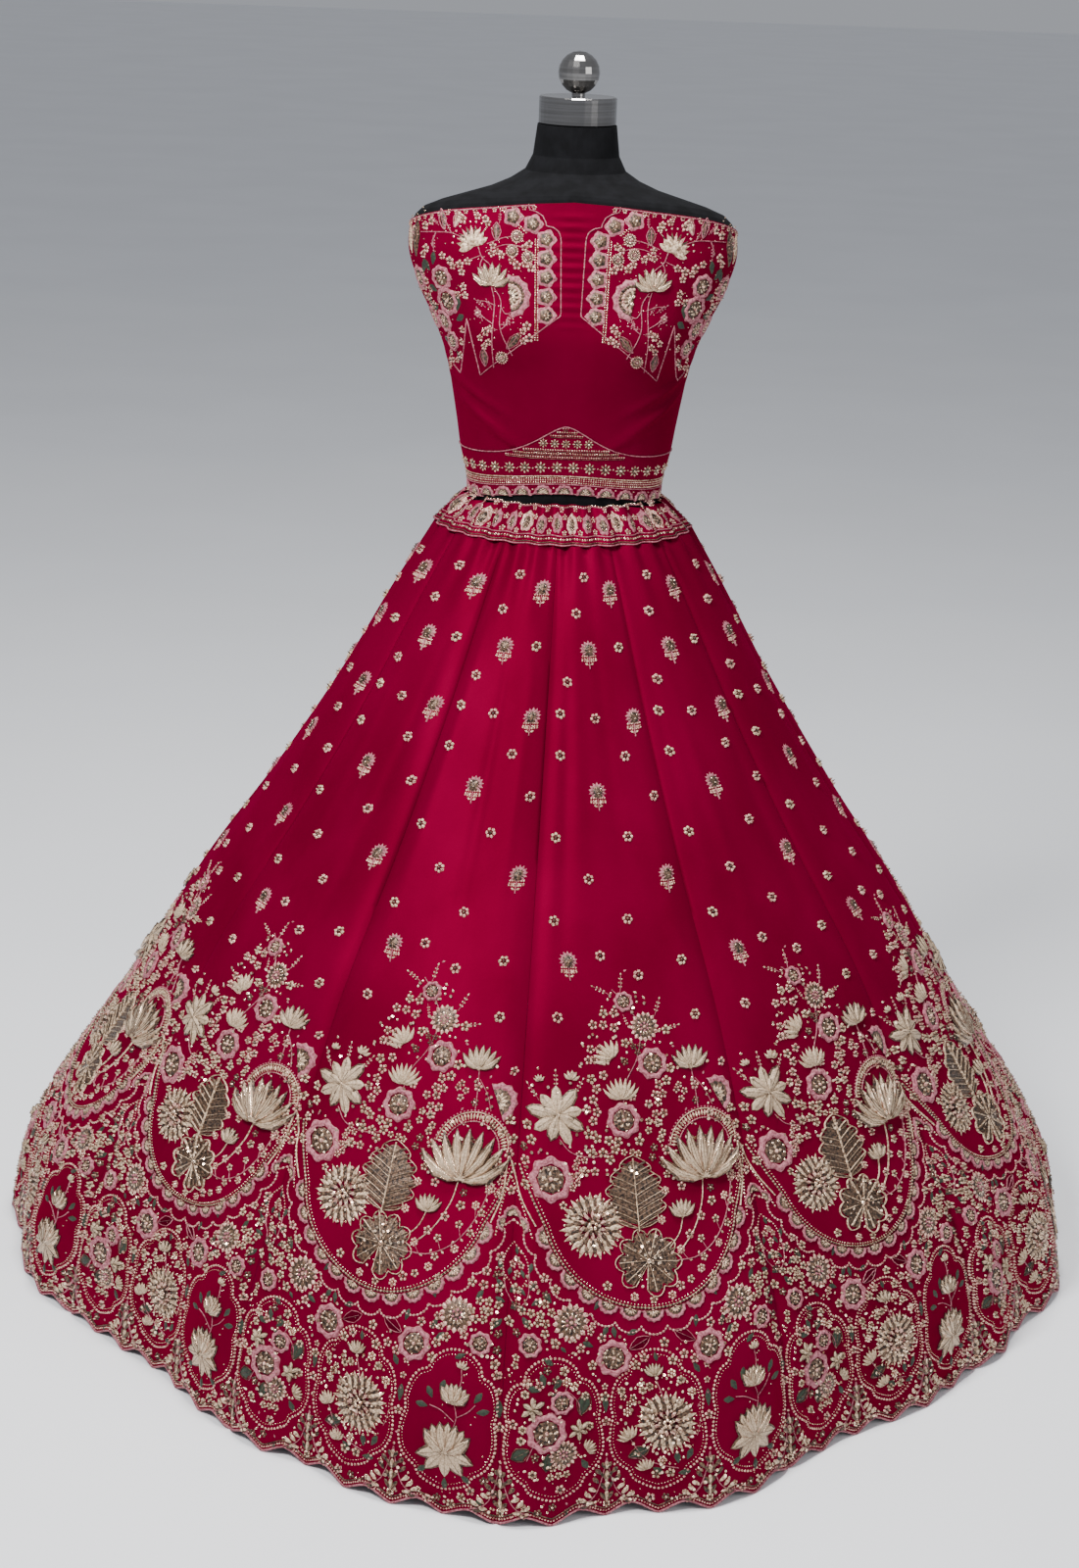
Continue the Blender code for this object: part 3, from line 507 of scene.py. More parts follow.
class Work:
    """Raised embroidery laid out flat. Points are millimetres across, up and out; faces carry a thread."""

    def __init__(self):
        self.points, self.faces, self.threads, self.spots = [], [], [], []
        self.count = 0

    def add(self, points, faces, thread):
        points = np.asarray(points, float).reshape(-1, 3)
        faces = np.asarray(faces, int).reshape(-1, 3)
        self.points.append(points)
        self.faces.append(faces + self.count)
        self.threads.append(np.broadcast_to(thread, len(faces)))
        self.count += len(points)
        return self

    def whole(self):
        return np.concatenate(self.points), np.concatenate(self.faces), np.concatenate(self.threads)

    def place(self, motif, across=0.0, up=0.0, turn=0.0, size=1.0, flip=False):
        """Adds a copy of a motif, turned clockwise by degrees."""
        points, faces, threads = motif.whole()
        points = points * size
        if flip:
            points, faces = points * (-1, 1, 1), faces[:, ::-1]
        c, s = math.cos(math.radians(turn)), math.sin(math.radians(turn))

        def moved(x, y):
            return x * c + y * s + across, y * c - x * s + up

        flat = points[:, :2]
        if len(points) > SPOT_POINTS:
            middle = (flat.min(axis=0) + flat.max(axis=0)) / 2
            reach = np.linalg.norm(flat - middle, axis=1).max() * SPOT_SHARE
            self.spots.append((*moved(*middle), reach))
        return self.add(np.column_stack([*moved(*flat.T), points[:, 2]]), faces, threads)


def spread(work, motif, turns, across=0.0, up=0.0):
    """Places a motif at one spot with several turns."""
    for turn in turns:
        work.place(motif, across, up, turn)


def set_out(work, rows, across=0.0, up=0.0):
    """Places motifs. A row is a motif, then its places: across, up, and if need be turn and size."""
    for motif, *places in rows:
        for x, y, *turn_and_size in places:
            work.place(motif, across + x, up + y, *turn_and_size)


def fan(sides, first=0):
    """Faces between a ring of points and the point that follows it."""
    return [(first + sides, first + i, first + (i + 1) % sides) for i in range(sides)]


def ring(radius, sides, out, turn=0.0, wobble=0.0, lobes=0):
    angle = turn + np.arange(sides) * 2 * math.pi / sides
    r = radius * (1 + wobble * np.cos(lobes * (angle - turn)))
    return np.stack([r * np.sin(angle), r * np.cos(angle), np.full(sides, float(out))], axis=1)


def between_rings(first, second, sides):
    faces = []
    for i in range(sides):
        j = (i + 1) % sides
        faces += [(first + i, first + j, second + j), (first + i, second + j, second + i)]
    return faces


def dome(radius, rise, sides, thread, wobble=0.0, lobes=0):
    """A low round boss on the cloth."""
    levels = ((1.0, DIP), (0.72, rise * 0.72))
    points = [p for share, out in levels for p in ring(radius * share, sides, out, 0, wobble, lobes)]
    faces = between_rings(0, sides, sides) + fan(sides, sides)
    return Work().add([*points, (0, 0, rise)], faces, thread)


def bead(radius, thread, sides=5, rise=None):
    points = [*ring(radius, sides, DIP), (0, 0, rise or radius * 1.1)]
    return Work().add(points, fan(sides), thread)


def beads_at(work, places, radius, thread, sides=5, lift=0.0):
    """Many beads in one go, at rows of (across, up)."""
    points, faces, _ = bead(radius, thread, sides).whole()
    places = np.asarray(places, float).reshape(-1, 2)
    offsets = np.concatenate([places, np.full((len(places), 1), lift)], axis=1)
    many = (points[None] + offsets[:, None]).reshape(-1, 3)
    numbers = (faces[None] + (np.arange(len(places)) * len(points))[:, None, None]).reshape(-1, 3)
    return work.add(many, numbers, thread)


def looped(path, closed):
    path = np.asarray(path, float)
    return np.vstack([path, path[:1]]) if closed else path


def resample(path, step, closed=False):
    """Places at about even steps along a path."""
    path = looped(path, closed)
    lengths = np.concatenate([[0], np.cumsum(np.linalg.norm(np.diff(path, axis=0), axis=1))])
    where = np.linspace(0, lengths[-1], max(2, int(round(lengths[-1] / step)) + 1))
    if closed:
        where = where[:-1]
    return np.stack([np.interp(where, lengths, path[:, k]) for k in (0, 1)], axis=1)


def smooth_path(points, each=8, closed=False):
    """A curve through the points, with a few steps between each two."""
    p = np.asarray(points, float)
    p = np.vstack([p[-1], p, p[0], p[1]]) if closed else np.vstack([2 * p[0] - p[1], p, 2 * p[-1] - p[-2]])
    t = np.linspace(0, 1, each, endpoint=False)[:, None]
    pieces = []
    for a, b, c, d in zip(p[:-3], p[1:-2], p[2:-1], p[3:]):
        second, third = 2 * a - 5 * b + 4 * c - d, 3 * b - a - 3 * c + d
        pieces.append(0.5 * (2 * b + (c - a) * t + second * t**2 + third * t**3))
    if not closed:
        pieces.append(p[-2:-1])
    return np.vstack(pieces)


def cord(work, path, width, rise, thread, closed=False, taper=False):
    """A laid cord of a three-sided section along a path."""
    path = looped(path, closed)
    n = len(path)
    tangent = np.gradient(path, axis=0)
    tangent /= np.maximum(np.linalg.norm(tangent, axis=1, keepdims=True), 1e-9)
    half = width / 2 * (np.linspace(1, 0.25, n) if taper else np.ones(n))
    side = np.stack([tangent[:, 1], -tangent[:, 0]], axis=1) * half[:, None]
    lines = ((path - side, DIP), (path, rise), (path + side, DIP))
    points = np.vstack([np.column_stack([line, np.full(n, out)]) for line, out in lines])
    i = np.arange(n - 1)
    faces = [(a, a + n + 1, a + n) for a in (i, i + n)] + [(a, a + 1, a + n + 1) for a in (i, i + n)]
    return work.add(points, np.concatenate([np.stack(corners, axis=1) for corners in faces]), thread)


def sequins_at(work, places, radius, seed, out):
    """Flat six-sided sequins, each a little tilted its own way."""
    rng = np.random.default_rng(seed)
    turn = np.arange(6) * math.pi / 3
    fan_faces = np.array([(0, k + 1, k + 2) for k in range(5)] + [(0, 6, 1)])
    for x, y in places:
        lean_x, lean_y = rng.uniform(-SEQUIN_TILT, SEQUIN_TILT, 2)
        dx, dy = radius * np.cos(turn), radius * np.sin(turn)
        rim = np.column_stack([x + dx, y + dy, out + dx * lean_x + dy * lean_y])
        work.add(np.vstack([(x, y, out + 0.1), rim]), fan_faces, SEQUIN)
    return work


def beaded(work, path, step, radius, thread, closed=False, sides=5):
    return beads_at(work, resample(path, step, closed), radius, thread, sides)


def stems(work, paths, width, rise=1.0, thread=ROSE, each=8, middle=(0.0, 0.0)):
    """Laid cords along smooth curves through the paths' places."""
    for path in paths:
        cord(work, smooth_path(path, each) + np.array(middle), width, rise, thread)


def petal(length, width, rise, thread, lift=0.0, blunt=0.68):
    """A padded petal with its foot at 0,0, pointing up the cloth."""
    half = width / 2
    stations = ((0.0, 0.16), (0.24, 0.62), (0.54, 1.0), (0.82, blunt), (1.0, 0.0))
    edge = DIP + lift if lift == 0 else lift * 0.4
    points, faces = [], []
    for y, w in stations[:-1]:
        crown = rise * math.sin(math.pi * min(0.25 + y * 0.8, 1)) ** 0.6 if y else rise * 0.3
        points += [
            (-half * w, y * length, edge),
            (-half * w * 0.45, y * length, lift + crown),
            (0, y * length, lift + crown * 0.72),
            (half * w * 0.45, y * length, lift + crown),
            (half * w, y * length, edge),
        ]
    points.append((0, length, edge + 0.15))
    for row in range(3):
        for k in range(4):
            a = row * 5 + k
            faces += [(a, a + 5, a + 6), (a, a + 6, a + 1)]
    faces += [(15 + k, 20, 16 + k) for k in range(4)]
    return Work().add(points, faces, thread)


def plain_petal(length, width, rise, thread, lift=0.0):
    """A small petal of few faces, with a ridge down its middle."""
    half = width / 2
    edge = DIP if lift == 0 else lift * 0.3
    points = [
        (0, 0, edge), (-half, length * 0.55, edge), (0, length, edge), (half, length * 0.55, edge),
        (0, length * 0.5, lift + rise),
    ]
    return Work().add(points, [(4, 0, 1), (4, 1, 2), (4, 2, 3), (4, 3, 0)], thread)


def bent(made, degrees, length):
    """The same motif with its axis curved sideways by so many degrees at its tip."""
    points, faces, threads = made.whole()
    turn = np.radians(degrees) * np.clip(points[:, 1] / length, 0, 1)
    across = points[:, 0] * np.cos(turn) + points[:, 1] * np.sin(turn)
    up = points[:, 1] * np.cos(turn) - points[:, 0] * np.sin(turn)
    return Work().add(np.column_stack([across, up, points[:, 2]]), faces, threads)


def stretched(made, across, up):
    points, faces, threads = made.whole()
    return Work().add(points * (across, up, 1), faces, threads)


def corded_petal(length, width, rise, lift=0.0, cords=3, blunt=0.58):
    """A padded petal of satin stitch on a darker edge, with a laid cord for its vein."""
    made = Work()
    made.place(petal(length * 1.06, width * 1.26, rise * 0.5, ANTIQUE, lift, blunt * 0.94))
    made.place(petal(length, width, rise, PADDED, lift + 0.7, blunt))
    vein = Work()
    cord(vein, [(0, length * y) for y in (0.1, 0.5, 0.88)], 0.9, rise * 0.95, ANTIQUE, taper=True)
    if cords > 3:
        bow = ((0.1, 0.12), (0.3, 0.26), (0.55, 0.30), (0.80, 0.18))
        for side in (-1, 1):
            path = [(side * width * w, length * y) for y, w in bow]
            cord(vein, path, 0.8, rise * 1.02, SEQUIN, taper=True)
    points, faces, threads = vein.whole()
    points[:, 2] += lift + 0.7
    return made.add(points, faces, threads)


def round_petals(count, reach, foot, width, rise, thread, lift=0.0, turn=0.0, uneven=0.0):
    made = Work()
    for k in range(count):
        longer = 1 + uneven * math.sin(k * 2.4 + turn)
        one = plain_petal((reach - foot) * longer, width, rise, thread, lift)
        angle = turn + k * 360 / count
        made.place(one, *polar(angle, foot), angle)
    return made


def rose(radius, seed):
    """A rose with a soft ruffled rim of thread, and antique zari and sequins inside."""
    made = Work()
    sides, lobes = 40, 8
    levels = ((1.0, DIP, 0.075), (0.92, 1.7, 0.075), (0.80, 2.3, 0.065), (0.66, 0.8, 0.05))
    points = [p for r, out, wobble in levels for p in ring(radius * r, sides, out, seed, wobble, lobes)]
    faces = [f for k in range(3) for f in between_rings(k * sides, (k + 1) * sides, sides)]
    made.add(points, faces, ROSE)
    made.place(dome(radius * 0.68, 0.9, 12, ANTIQUE))
    outer = round_petals(7, radius * 0.66, radius * 0.24, radius * 0.30, 1.3, ANTIQUE, 0.7, seed * 31)
    made.place(outer)
    inner = round_petals(5, radius * 0.44, radius * 0.10, radius * 0.17, 1.4, PALE, 1.4, seed * 17 + 12)
    made.place(inner, radius * 0.08 * math.sin(seed), radius * 0.08 * math.cos(seed))
    heart = ring(radius * 0.50, 9, 0, seed, 0.25, 4)[:, :2]
    beads_at(made, heart, radius * 0.075, SEQUIN, 4, 1.7)
    made.place(dome(radius * 0.13, 3.2, 6, PEARL))
    return made


def half_rose(radius):
    """Half of a rose seen from its side, flat edge down."""
    made = Work()
    levels = ((1.0, DIP), (0.92, 1.6), (0.82, 1.9), (0.68, 0.6))
    points = []
    for share, out in levels:
        for k, turn in enumerate(np.linspace(-90, 90, 13)):
            points.append((*polar(turn, radius * share * (1 + 0.05 * (-1) ** k)), out))
    faces = []
    for a in (level * 13 + k for level in range(3) for k in range(12)):
        faces += [(a, a + 1, a + 14), (a, a + 14, a + 13)]
    made.add(points, faces, ROSE)
    inside = [(0, 0, 1.0), *[(x, y, 0.8) for x, y, _ in points[-13:]]]
    made.add(inside, [(0, k + 1, k + 2) for k in range(12)], ANTIQUE)
    spread(made, plain_petal(radius * 0.64, radius * 0.22, 1.6, PALE, 0.7), np.linspace(-72, 72, 6))
    beads_at(made, [(radius * x, radius * 0.16) for x in (-0.28, 0, 0.28)], radius * 0.11, SEQUIN)
    return made


def bullion(radius):
    """A round flower of coiled gold with rings of beads."""
    made = Work()
    made.place(dome(radius * 0.96, 0.9, 16, ANTIQUE))
    made.place(round_petals(16, radius * 1.06, radius * 0.66, radius * 0.30, 1.3, PEARL, 0.9))
    made.place(round_petals(12, radius * 0.62, radius * 0.24, radius * 0.13, 1.3, SEQUIN, 1.1, 12))
    beads_at(made, ring(radius * 0.26, 6, 0)[:, :2], radius * 0.10, ROSE, 4, 1.3)
    made.place(dome(radius * 0.14, 2.6, 5, PEARL))
    return made


def blossom(radius, petals, thread=PALE, heart=ANTIQUE):
    made = Work()
    beads_at(made, ring(radius * 0.64, petals, 0)[:, :2], radius * 0.37, thread, 5, 0.2)
    made.place(bead(radius * 0.34, heart, 5, radius * 0.55 + 0.4))
    return made


def lotus(width, count, spread, rims, cup=True, broad=1.06):
    """A lotus from its side: padded petals that fan from its foot and curve up at their tips."""
    made = Work()
    angles = np.linspace(-spread / 2, spread / 2, count)
    order = sorted(range(count), key=lambda k: (k % 2 == 0, -abs(angles[k])))
    for k in order:
        angle = angles[k]
        reach = width * (0.56 - 0.03 * math.cos(math.radians(angle)))
        lift = 1.9 if k % 2 == 0 else 0.2
        one = corded_petal(reach, width * broad / count, 1.8, lift, 5 if rims else 3)
        made.place(bent(one, -0.44 * angle, reach), 0, 0, angle * 1.22)
    if cup:
        made.place(dome(width * 0.06, 2.6, 6, PALE), 0, width * 0.015)
    return made


def small_lotus(width, count):
    """A small lotus of few faces, for places where its petals are only a few millimetres wide."""
    made = Work()
    for k, angle in enumerate(np.linspace(-76, 76, count)):
        reach = width * (0.56 - 0.02 * math.cos(math.radians(angle)))
        one = petal(reach, width * 1.06 / count, 1.8, PADDED, 0.4 + 1.2 * (k % 2), 0.54)
        made.place(bent(one, -0.44 * angle, reach), 0, 0, angle * 1.22)
    return made


def star_flower(radius, count=9):
    """An open flower of broad pointed padded petals, seen from the front."""
    made = Work()
    for layer, (n, reach, turn) in enumerate(((count, 1.0, 0.0), (4, 0.58, 22.0))):
        for k in range(n):
            longer = 1 + 0.12 * math.sin(k * 2.1)
            broad = radius * (0.40 if layer == 0 else 0.28)
            lift = layer * 1.8 + 1.0 * (k % 2)
            one = corded_petal(radius * reach * longer, broad, 2.2, lift, 3, 0.78)
            made.place(one, 0, 0, turn + k * 360 / n)
    made.place(dome(radius * 0.11, 3.8, 6, SEQUIN))
    return made


def dahlia(radius):
    """A dahlia of pointed bead and zari petals in five close rings."""
    made = Work()
    # A dome of darker silk under the petals: painted shade between them
    made.place(dome(radius * 0.66, 0.6, 14, PAINTED_SHADE))
    rings = (
        (19, 1.0, 0.50, 0.15, 0.3, PALE, 0), (19, 0.94, 0.44, 0.19, 0.0, ANTIQUE, 9.5),
        (15, 0.76, 0.36, 0.13, 1.4, PALE, 5), (15, 0.68, 0.30, 0.18, 1.1, ANTIQUE, 17),
        (10, 0.48, 0.16, 0.12, 2.4, PEARL, 4), (8, 0.34, 0.06, 0.14, 2.6, ANTIQUE, 20),
    )
    for n, reach, foot, broad, lift, thread, turn in rings:
        sizes = (radius * reach, radius * foot, radius * broad)
        made.place(round_petals(n, *sizes, 1.7, thread, lift, turn, uneven=0.08))
    bead_rings = (
        (0.86, 19, 0.16, 0.045, 4, 1.0), (0.50, 10, 0.2, 0.05, 4, 2.6), (0.10, 5, 0.0, 0.07, 5, 3.4),
    )
    for reach, count, turn, size, sides, lift in bead_rings:
        beads_at(made, ring(radius * reach, count, 0, turn)[:, :2], radius * size, SEQUIN, sides, lift)
    return made


def leaf(length, width, thread=LEAF, rim=ANTIQUE):
    """A leaf with a vein, inside a laid cord unless rim is None."""
    made = Work()
    made.place(petal(length, width, 0.9, thread, blunt=0.6))
    if rim is not None:
        widths = ((0, 0.1), (0.22, 0.66), (0.52, 1.05), (0.80, 0.66), (1.02, 0.0))
        side = [(width / 2 * w, y * length) for y, w in widths]
        path = [(-x, y) for x, y in side] + side[-2::-1]
        cord(made, path, 1.0, 1.0, rim)
        cord(made, [(0, 0), (0, length * 0.5), (0, length * 0.86)], 0.8, 1.6, rim)
    return made


def lobed_plate(made, outline, heart, rise):
    """A low plate of antique zari from its heart to an outline."""
    outline = np.asarray(outline)
    middle = np.asarray(heart) + (outline - heart) * 0.6
    points = [(*heart, rise)] + [(x, y, rise * 0.9) for x, y in middle] + [(x, y, DIP) for x, y in outline]
    n = len(outline)
    faces = [(0, 1 + (k + 1) % n, 1 + k) for k in range(n)]
    for k in range(n):
        a, b = 1 + k, 1 + (k + 1) % n
        faces += [(a, b, b + n), (a, b + n, a + n)]
    made.add(points, faces, ANTIQUE)
    return made


def shell_leaf(length, width):
    """An upright antique leaf: ribs that slant from its vein to a lobed edge."""
    made = Work()

    def edge(t, side):
        lobes = 0.86 + 0.26 * abs(math.sin(5 * math.pi * t + 0.5 * side))
        return side * width / 2 * math.sin(math.pi * min(t, 1) ** 0.78) ** 0.62 * lobes, length * t

    right = [edge(t, 1) for t in np.linspace(0.0, 1, 36)]
    left = [edge(t, -1) for t in np.linspace(1, 0, 36)[1:-1]]
    lobed_plate(made, right + left, (0, length * 0.45), 0.9)
    for k, t in enumerate(np.linspace(0.10, 0.90, 15)):
        for side in (-1, 1):
            x, y = edge(t, side * 0.95)
            foot = (side * 0.6, max(0, y - 0.46 * abs(x)))
            rib = [foot, ((x + foot[0]) * 0.5, (y + foot[1]) * 0.5 + 0.6), (x, y)]
            cord(made, rib, *((1.3, 2.1, PALE) if k % 2 else (3.0, 2.3, ANTIQUE)))
    cord(made, [(0, -length * 0.04), (0, length * 0.5), (0, length * 0.96)], 1.8, 2.8, PALE)
    cord(made, right + left, 1.3, 1.9, PALE, closed=True)
    return made


def pad_leaf(radius):
    """A round lotus leaf: broad ribs from its heart to a lobed edge, open at the bottom."""
    made = Work()
    count = 9
    start, span = -168, 336
    edge = []
    for t in np.linspace(0, 1, count * 6 + 1):
        reach = radius * (0.82 + 0.22 * abs(math.sin(count * math.pi * t)) + 0.06 * math.cos(7 * t))
        edge.append(polar(start + span * t, reach))
    edge.append((0, -radius * 0.12))
    lobed_plate(made, edge, (0, radius * 0.02), 1.0)
    for k in range(count * 3):
        t = (k + 0.5) / (count * 3)
        reach = radius * (0.88 + 0.08 * abs(math.sin(count * math.pi * t)))
        rib = [polar(start + span * t, reach * q) for q in (0.12, 0.5, 0.98)]
        cord(made, rib, *((1.5, 2.6, PALE) if k % 3 == 1 else (2.7, 2.0, ANTIQUE)))
    cord(made, edge, 1.4, 2.0, PALE, closed=True)
    rng = np.random.default_rng(3)
    turns, reaches = rng.uniform(0, 2 * math.pi, 26), rng.uniform(0.1, 0.8, 26) * radius
    beads_at(made, np.column_stack([reaches * np.sin(turns), reaches * np.cos(turns)]), 1.2, SEQUIN, 5, 1.6)
    made.place(dome(radius * 0.12, 3.0, 6, SEQUIN))
    return made


def sprig(length, buds, thread=PALE):
    """A stem with small buds in pairs and one at its end."""
    made = Work()
    cord(made, [(0, 0), (0.6, length * 0.5), (0, length)], 0.9, 0.8, ROSE)
    for k in range(buds):
        spread(made, plain_petal(3.6, 2.6, 1.2, thread), (-52, 52), 0, length * (0.30 + 0.7 * k / buds))
    made.place(plain_petal(4.6, 3.0, 1.4, thread), 0, length)
    return made


def cluster(width, height, radius, thread, seed):
    """A heap of small blossoms and beads."""
    made = Work()
    rng = np.random.default_rng(seed)
    step = radius * 1.9
    flower = blossom(radius, 5, thread)
    for row, y in enumerate(np.arange(-height / 2, height / 2 + 0.1, step)):
        for x in np.arange(-width / 2 + (row % 2) * step / 2, width / 2 + 0.1, step):
            if (x / width * 2) ** 2 + (y / height * 2) ** 2 < 1.05:
                jitter = rng.uniform(-0.22, 0.22, 2) * step
                made.place(flower, x + jitter[0], y + jitter[1], rng.uniform(0, 70))
    return made


def buti():
    """The field's larger flower: a ruffled round head on a short leafy stem, with a fringe of beads."""
    made = Work()
    spread(made, plain_petal(10.0, 5.0, 1.7, ROSE), np.linspace(-132, 132, 11))
    made.place(dome(7.4, 1.6, 10, ANTIQUE), 0, -0.4)
    made.place(round_petals(8, 6.6, 1.6, 2.2, 1.2, ANTIQUE, 1.4), 0, -0.4)
    beads_at(made, [(-2.6, 2.4), (2.8, 1.6), (0.2, -2.4)], 0.8, SEQUIN, 5, 2.4)
    for x in (-6.6, -4.2, -2.0, 2.0, 4.2, 6.6):
        beads_at(made, [(x, -6.4), (x * 1.04, -9.2), (x * 1.08, -12.0 + abs(x) * 0.2)], 1.15, PEARL, 5, 0.3)
    cord(made, [(0, -6), (0, -13), (0.4, -19)], 1.2, 1.2, ROSE)
    for y, turn in ((-12.0, 58), (-15.5, 66)):
        spread(made, plain_petal(5.6, 2.6, 1.2, PALE), (-turn, turn), 0, y)
    return made


def dot(thread):
    """The field's small round flower."""
    made = Work()
    # A dome of darker silk under the blossom: painted shade round its beads
    made.place(dome(4.6, 0.8, 6, PAINTED_SHADE))
    made.place(blossom(5.8, 6, thread, ANTIQUE))
    return made


def bush():
    """The dense pointed spray that stands on a scallop between two medallions."""
    made = Work()
    petals = ((25, 9, 70), (19, 12, 50), (13, 18, 62), (10, 26, 40), (6, 35, 46), (22, 4, 96), (15, 6, 84))
    bead_rows = (([(27, 13), (21, 19), (17, 27), (12, 36), (8, 44)], 1.7, SEQUIN),
                 ([(23, 1), (17, 1), (11, 2), (6, 5)], 1.5, PEARL))
    for side in (-1, 1):
        stalk = [(side * x, y) for x, y in ((29, 4), (20, 7), (11, 15), (5, 30), (0, 52))]
        stems(made, [stalk], 1.3, 1.2, each=4)
        for x, y, turn in petals:
            one = petal(9.5, 5.4, 1.5, PALE if x % 2 else ANTIQUE, blunt=0.8)
            made.place(one, side * x * 0.8, y, side * turn)
        for row, radius, thread in bead_rows:
            beads_at(made, [(side * x, y) for x, y in row], radius, thread)
    for y, size in ((6, 12), (17, 11), (29, 10), (40, 9)):
        for turn in (-34, 0, 34):
            made.place(petal(size, 4.4, 1.5, ANTIQUE if turn else PALE, lift=0.4, blunt=0.75), 0, y, turn)
    made.place(blossom(4.4, 6, SEQUIN), 0, 3)
    made.place(bead(1.8, PEARL), 0, 55)
    return made


def fill(work, inside, low, high, tries, gap, near, motifs, seed):
    """Sets small motifs on the ground between those already placed, no farther than near from one."""
    rng = np.random.default_rng(seed)
    spots = np.array(work.spots)
    sizes = [np.abs(motif.whole()[0][:, :2]).max() for motif in motifs]
    for x, y in rng.uniform(low, high, (tries, 2)):
        if not inside(x, y):
            continue
        kind = int(rng.integers(len(motifs)))
        clear = (np.hypot(spots[:, 0] - x, spots[:, 1] - y) - spots[:, 2]).min() - sizes[kind]
        if gap < clear < near:
            work.place(motifs[kind], x, y, rng.uniform(0, 360))
            spots = np.vstack([spots, (x, y, sizes[kind] * 0.95)])


# The layout of one panel's embroidery. Every panel carries the same one.

ARCH_MIDDLE = (2.0, 352.0)
ARCH_RADIUS = 118.0
ARCH_PETALS = 13
HALO = (85.0, 405.0)
ARCH_PETAL_STEP = 12.3
ARCH_CORD_RADIUS = 138.5
ARCH_CORD_WAVE = 8.5
# The ground for fillers: inside the arch's petals, outside its cord, and clear of the panel's seams
ARCH_GROUND_INSIDE = 107
ARCH_GROUND_OUTSIDE = 153
SEAM_CLEARANCE = 5
MEDALLION_PITCH = 118.0
MEDALLION_HEIGHT = 110.0
MEDALLION_HALF = (54, 79)


def arch_point(turn, radius):
    """A place on the arch's circle, at degrees from its lowest point."""
    return polar(180 - turn, radius, ARCH_MIDDLE)


def add_field(work):
    """Flowers and dots strewn over the upper part."""
    head, pale, rosy = buti(), dot(PEARL), dot(PALE)
    for across, up in ((-8, 835), (-64, 627), (72, 730), (48, 926), (-5, 1012), (30, 1088)):
        work.place(head, across, up + 4, size=1.28)
    dots = (
        (-52, 883), (32, 882), (66, 830), (-66, 781), (26, 782), (-29, 731), (-77, 679), (15, 681),
        (-24, 637), (78, 627), (-83, 563), (21, 612), (88, 560), (-36, 975), (-3, 930),
        (36, 1018), (-18, 1062), (-4, 1108), (-48, 935),
    )
    for k, (across, up) in enumerate(dots):
        work.place(pale if k % 3 else rosy, across, up, turn=k * 23, size=1.22)


def add_garden(work):
    """The spray that climbs from the arch, the star flower and the roses beside it."""
    stems(work, [[(-13, 444), (-8, 483), (10, 515), (16, 550), (0, 580), (-14, 596)]], 1.4)
    stems(work, [[(76, 500), (79, 478), (81, 452)]], 1.5, 1.1)
    stems(work, [[(100, 452), (92, 470), (80, 486)]], 1.2)
    stems(work, [[(-91, 425), (-78, 410), (-55, 404), (-30, 408)]], 1.3)
    small, bud, berries = blossom(6.4, 5), sprig(20, 3), blossom(5.6, 5, PEARL, ANTIQUE)
    set_out(work, (
        (rose(12, 1), (-1, 581)), (bullion(17), (22, 550)), (rose(18.5, 2), (28, 507)),
        (rose(20, 3), (-13, 444)), (rose(25, 4), (-104, 381)), (half_rose(23), (106, 462, 62)),
        (star_flower(33), (-91, 452)), (small_lotus(46, 9), (-13, 468)),
        (lotus(50, 7, 140, False), (76, 498)), (small_lotus(40, 7), (-22, 515, -38)),
        (bud, (-18, 590, -62), (-4, 592, 8), (36, 562, 22), (-91, 480, 2), (-112, 468, -36), (-70, 474, 34),
            (44, 545, 78), (-3, 566, 160, 0.7)),
        (small_lotus(20, 5), (-72, 492, 10)), (small_lotus(14, 5), (-110, 490, -12)),
        (small, (49, 545), (44, 486), (50, 500, 20), (-48, 492, 30), (-56, 430), (4, 420, 12),
            (-64, 388, 8), (-124, 424, 8), (-128, 440), (118, 430, 8), (124, 444)),
        (cluster(16, 56, 6.0, PEARL, 2), (-46, 462)), (cluster(18, 44, 5.6, PEARL, 3), (30, 462)),
        (cluster(34, 26, 5.6, PEARL, 4), (-40, 516)), (cluster(40, 30, 6.2, PALE, 5), (-38, 414)),
        (cluster(12, 34, 4.6, PEARL, 6), (62, 472)), (cluster(14, 30, 5.0, PALE, 7), (32, 424)),
        (cluster(26, 14, 4.4, PALE, 8), (-6, 405)), (cluster(14, 22, 4.4, PEARL, 9), (-70, 402)),
        (cluster(12, 26, 4.8, PALE, 10), (16, 436)), (cluster(16, 14, 4.4, ANTIQUE, 11), (12, 528)),
        (berries, (-52, 388), (0, 470)),
    ))


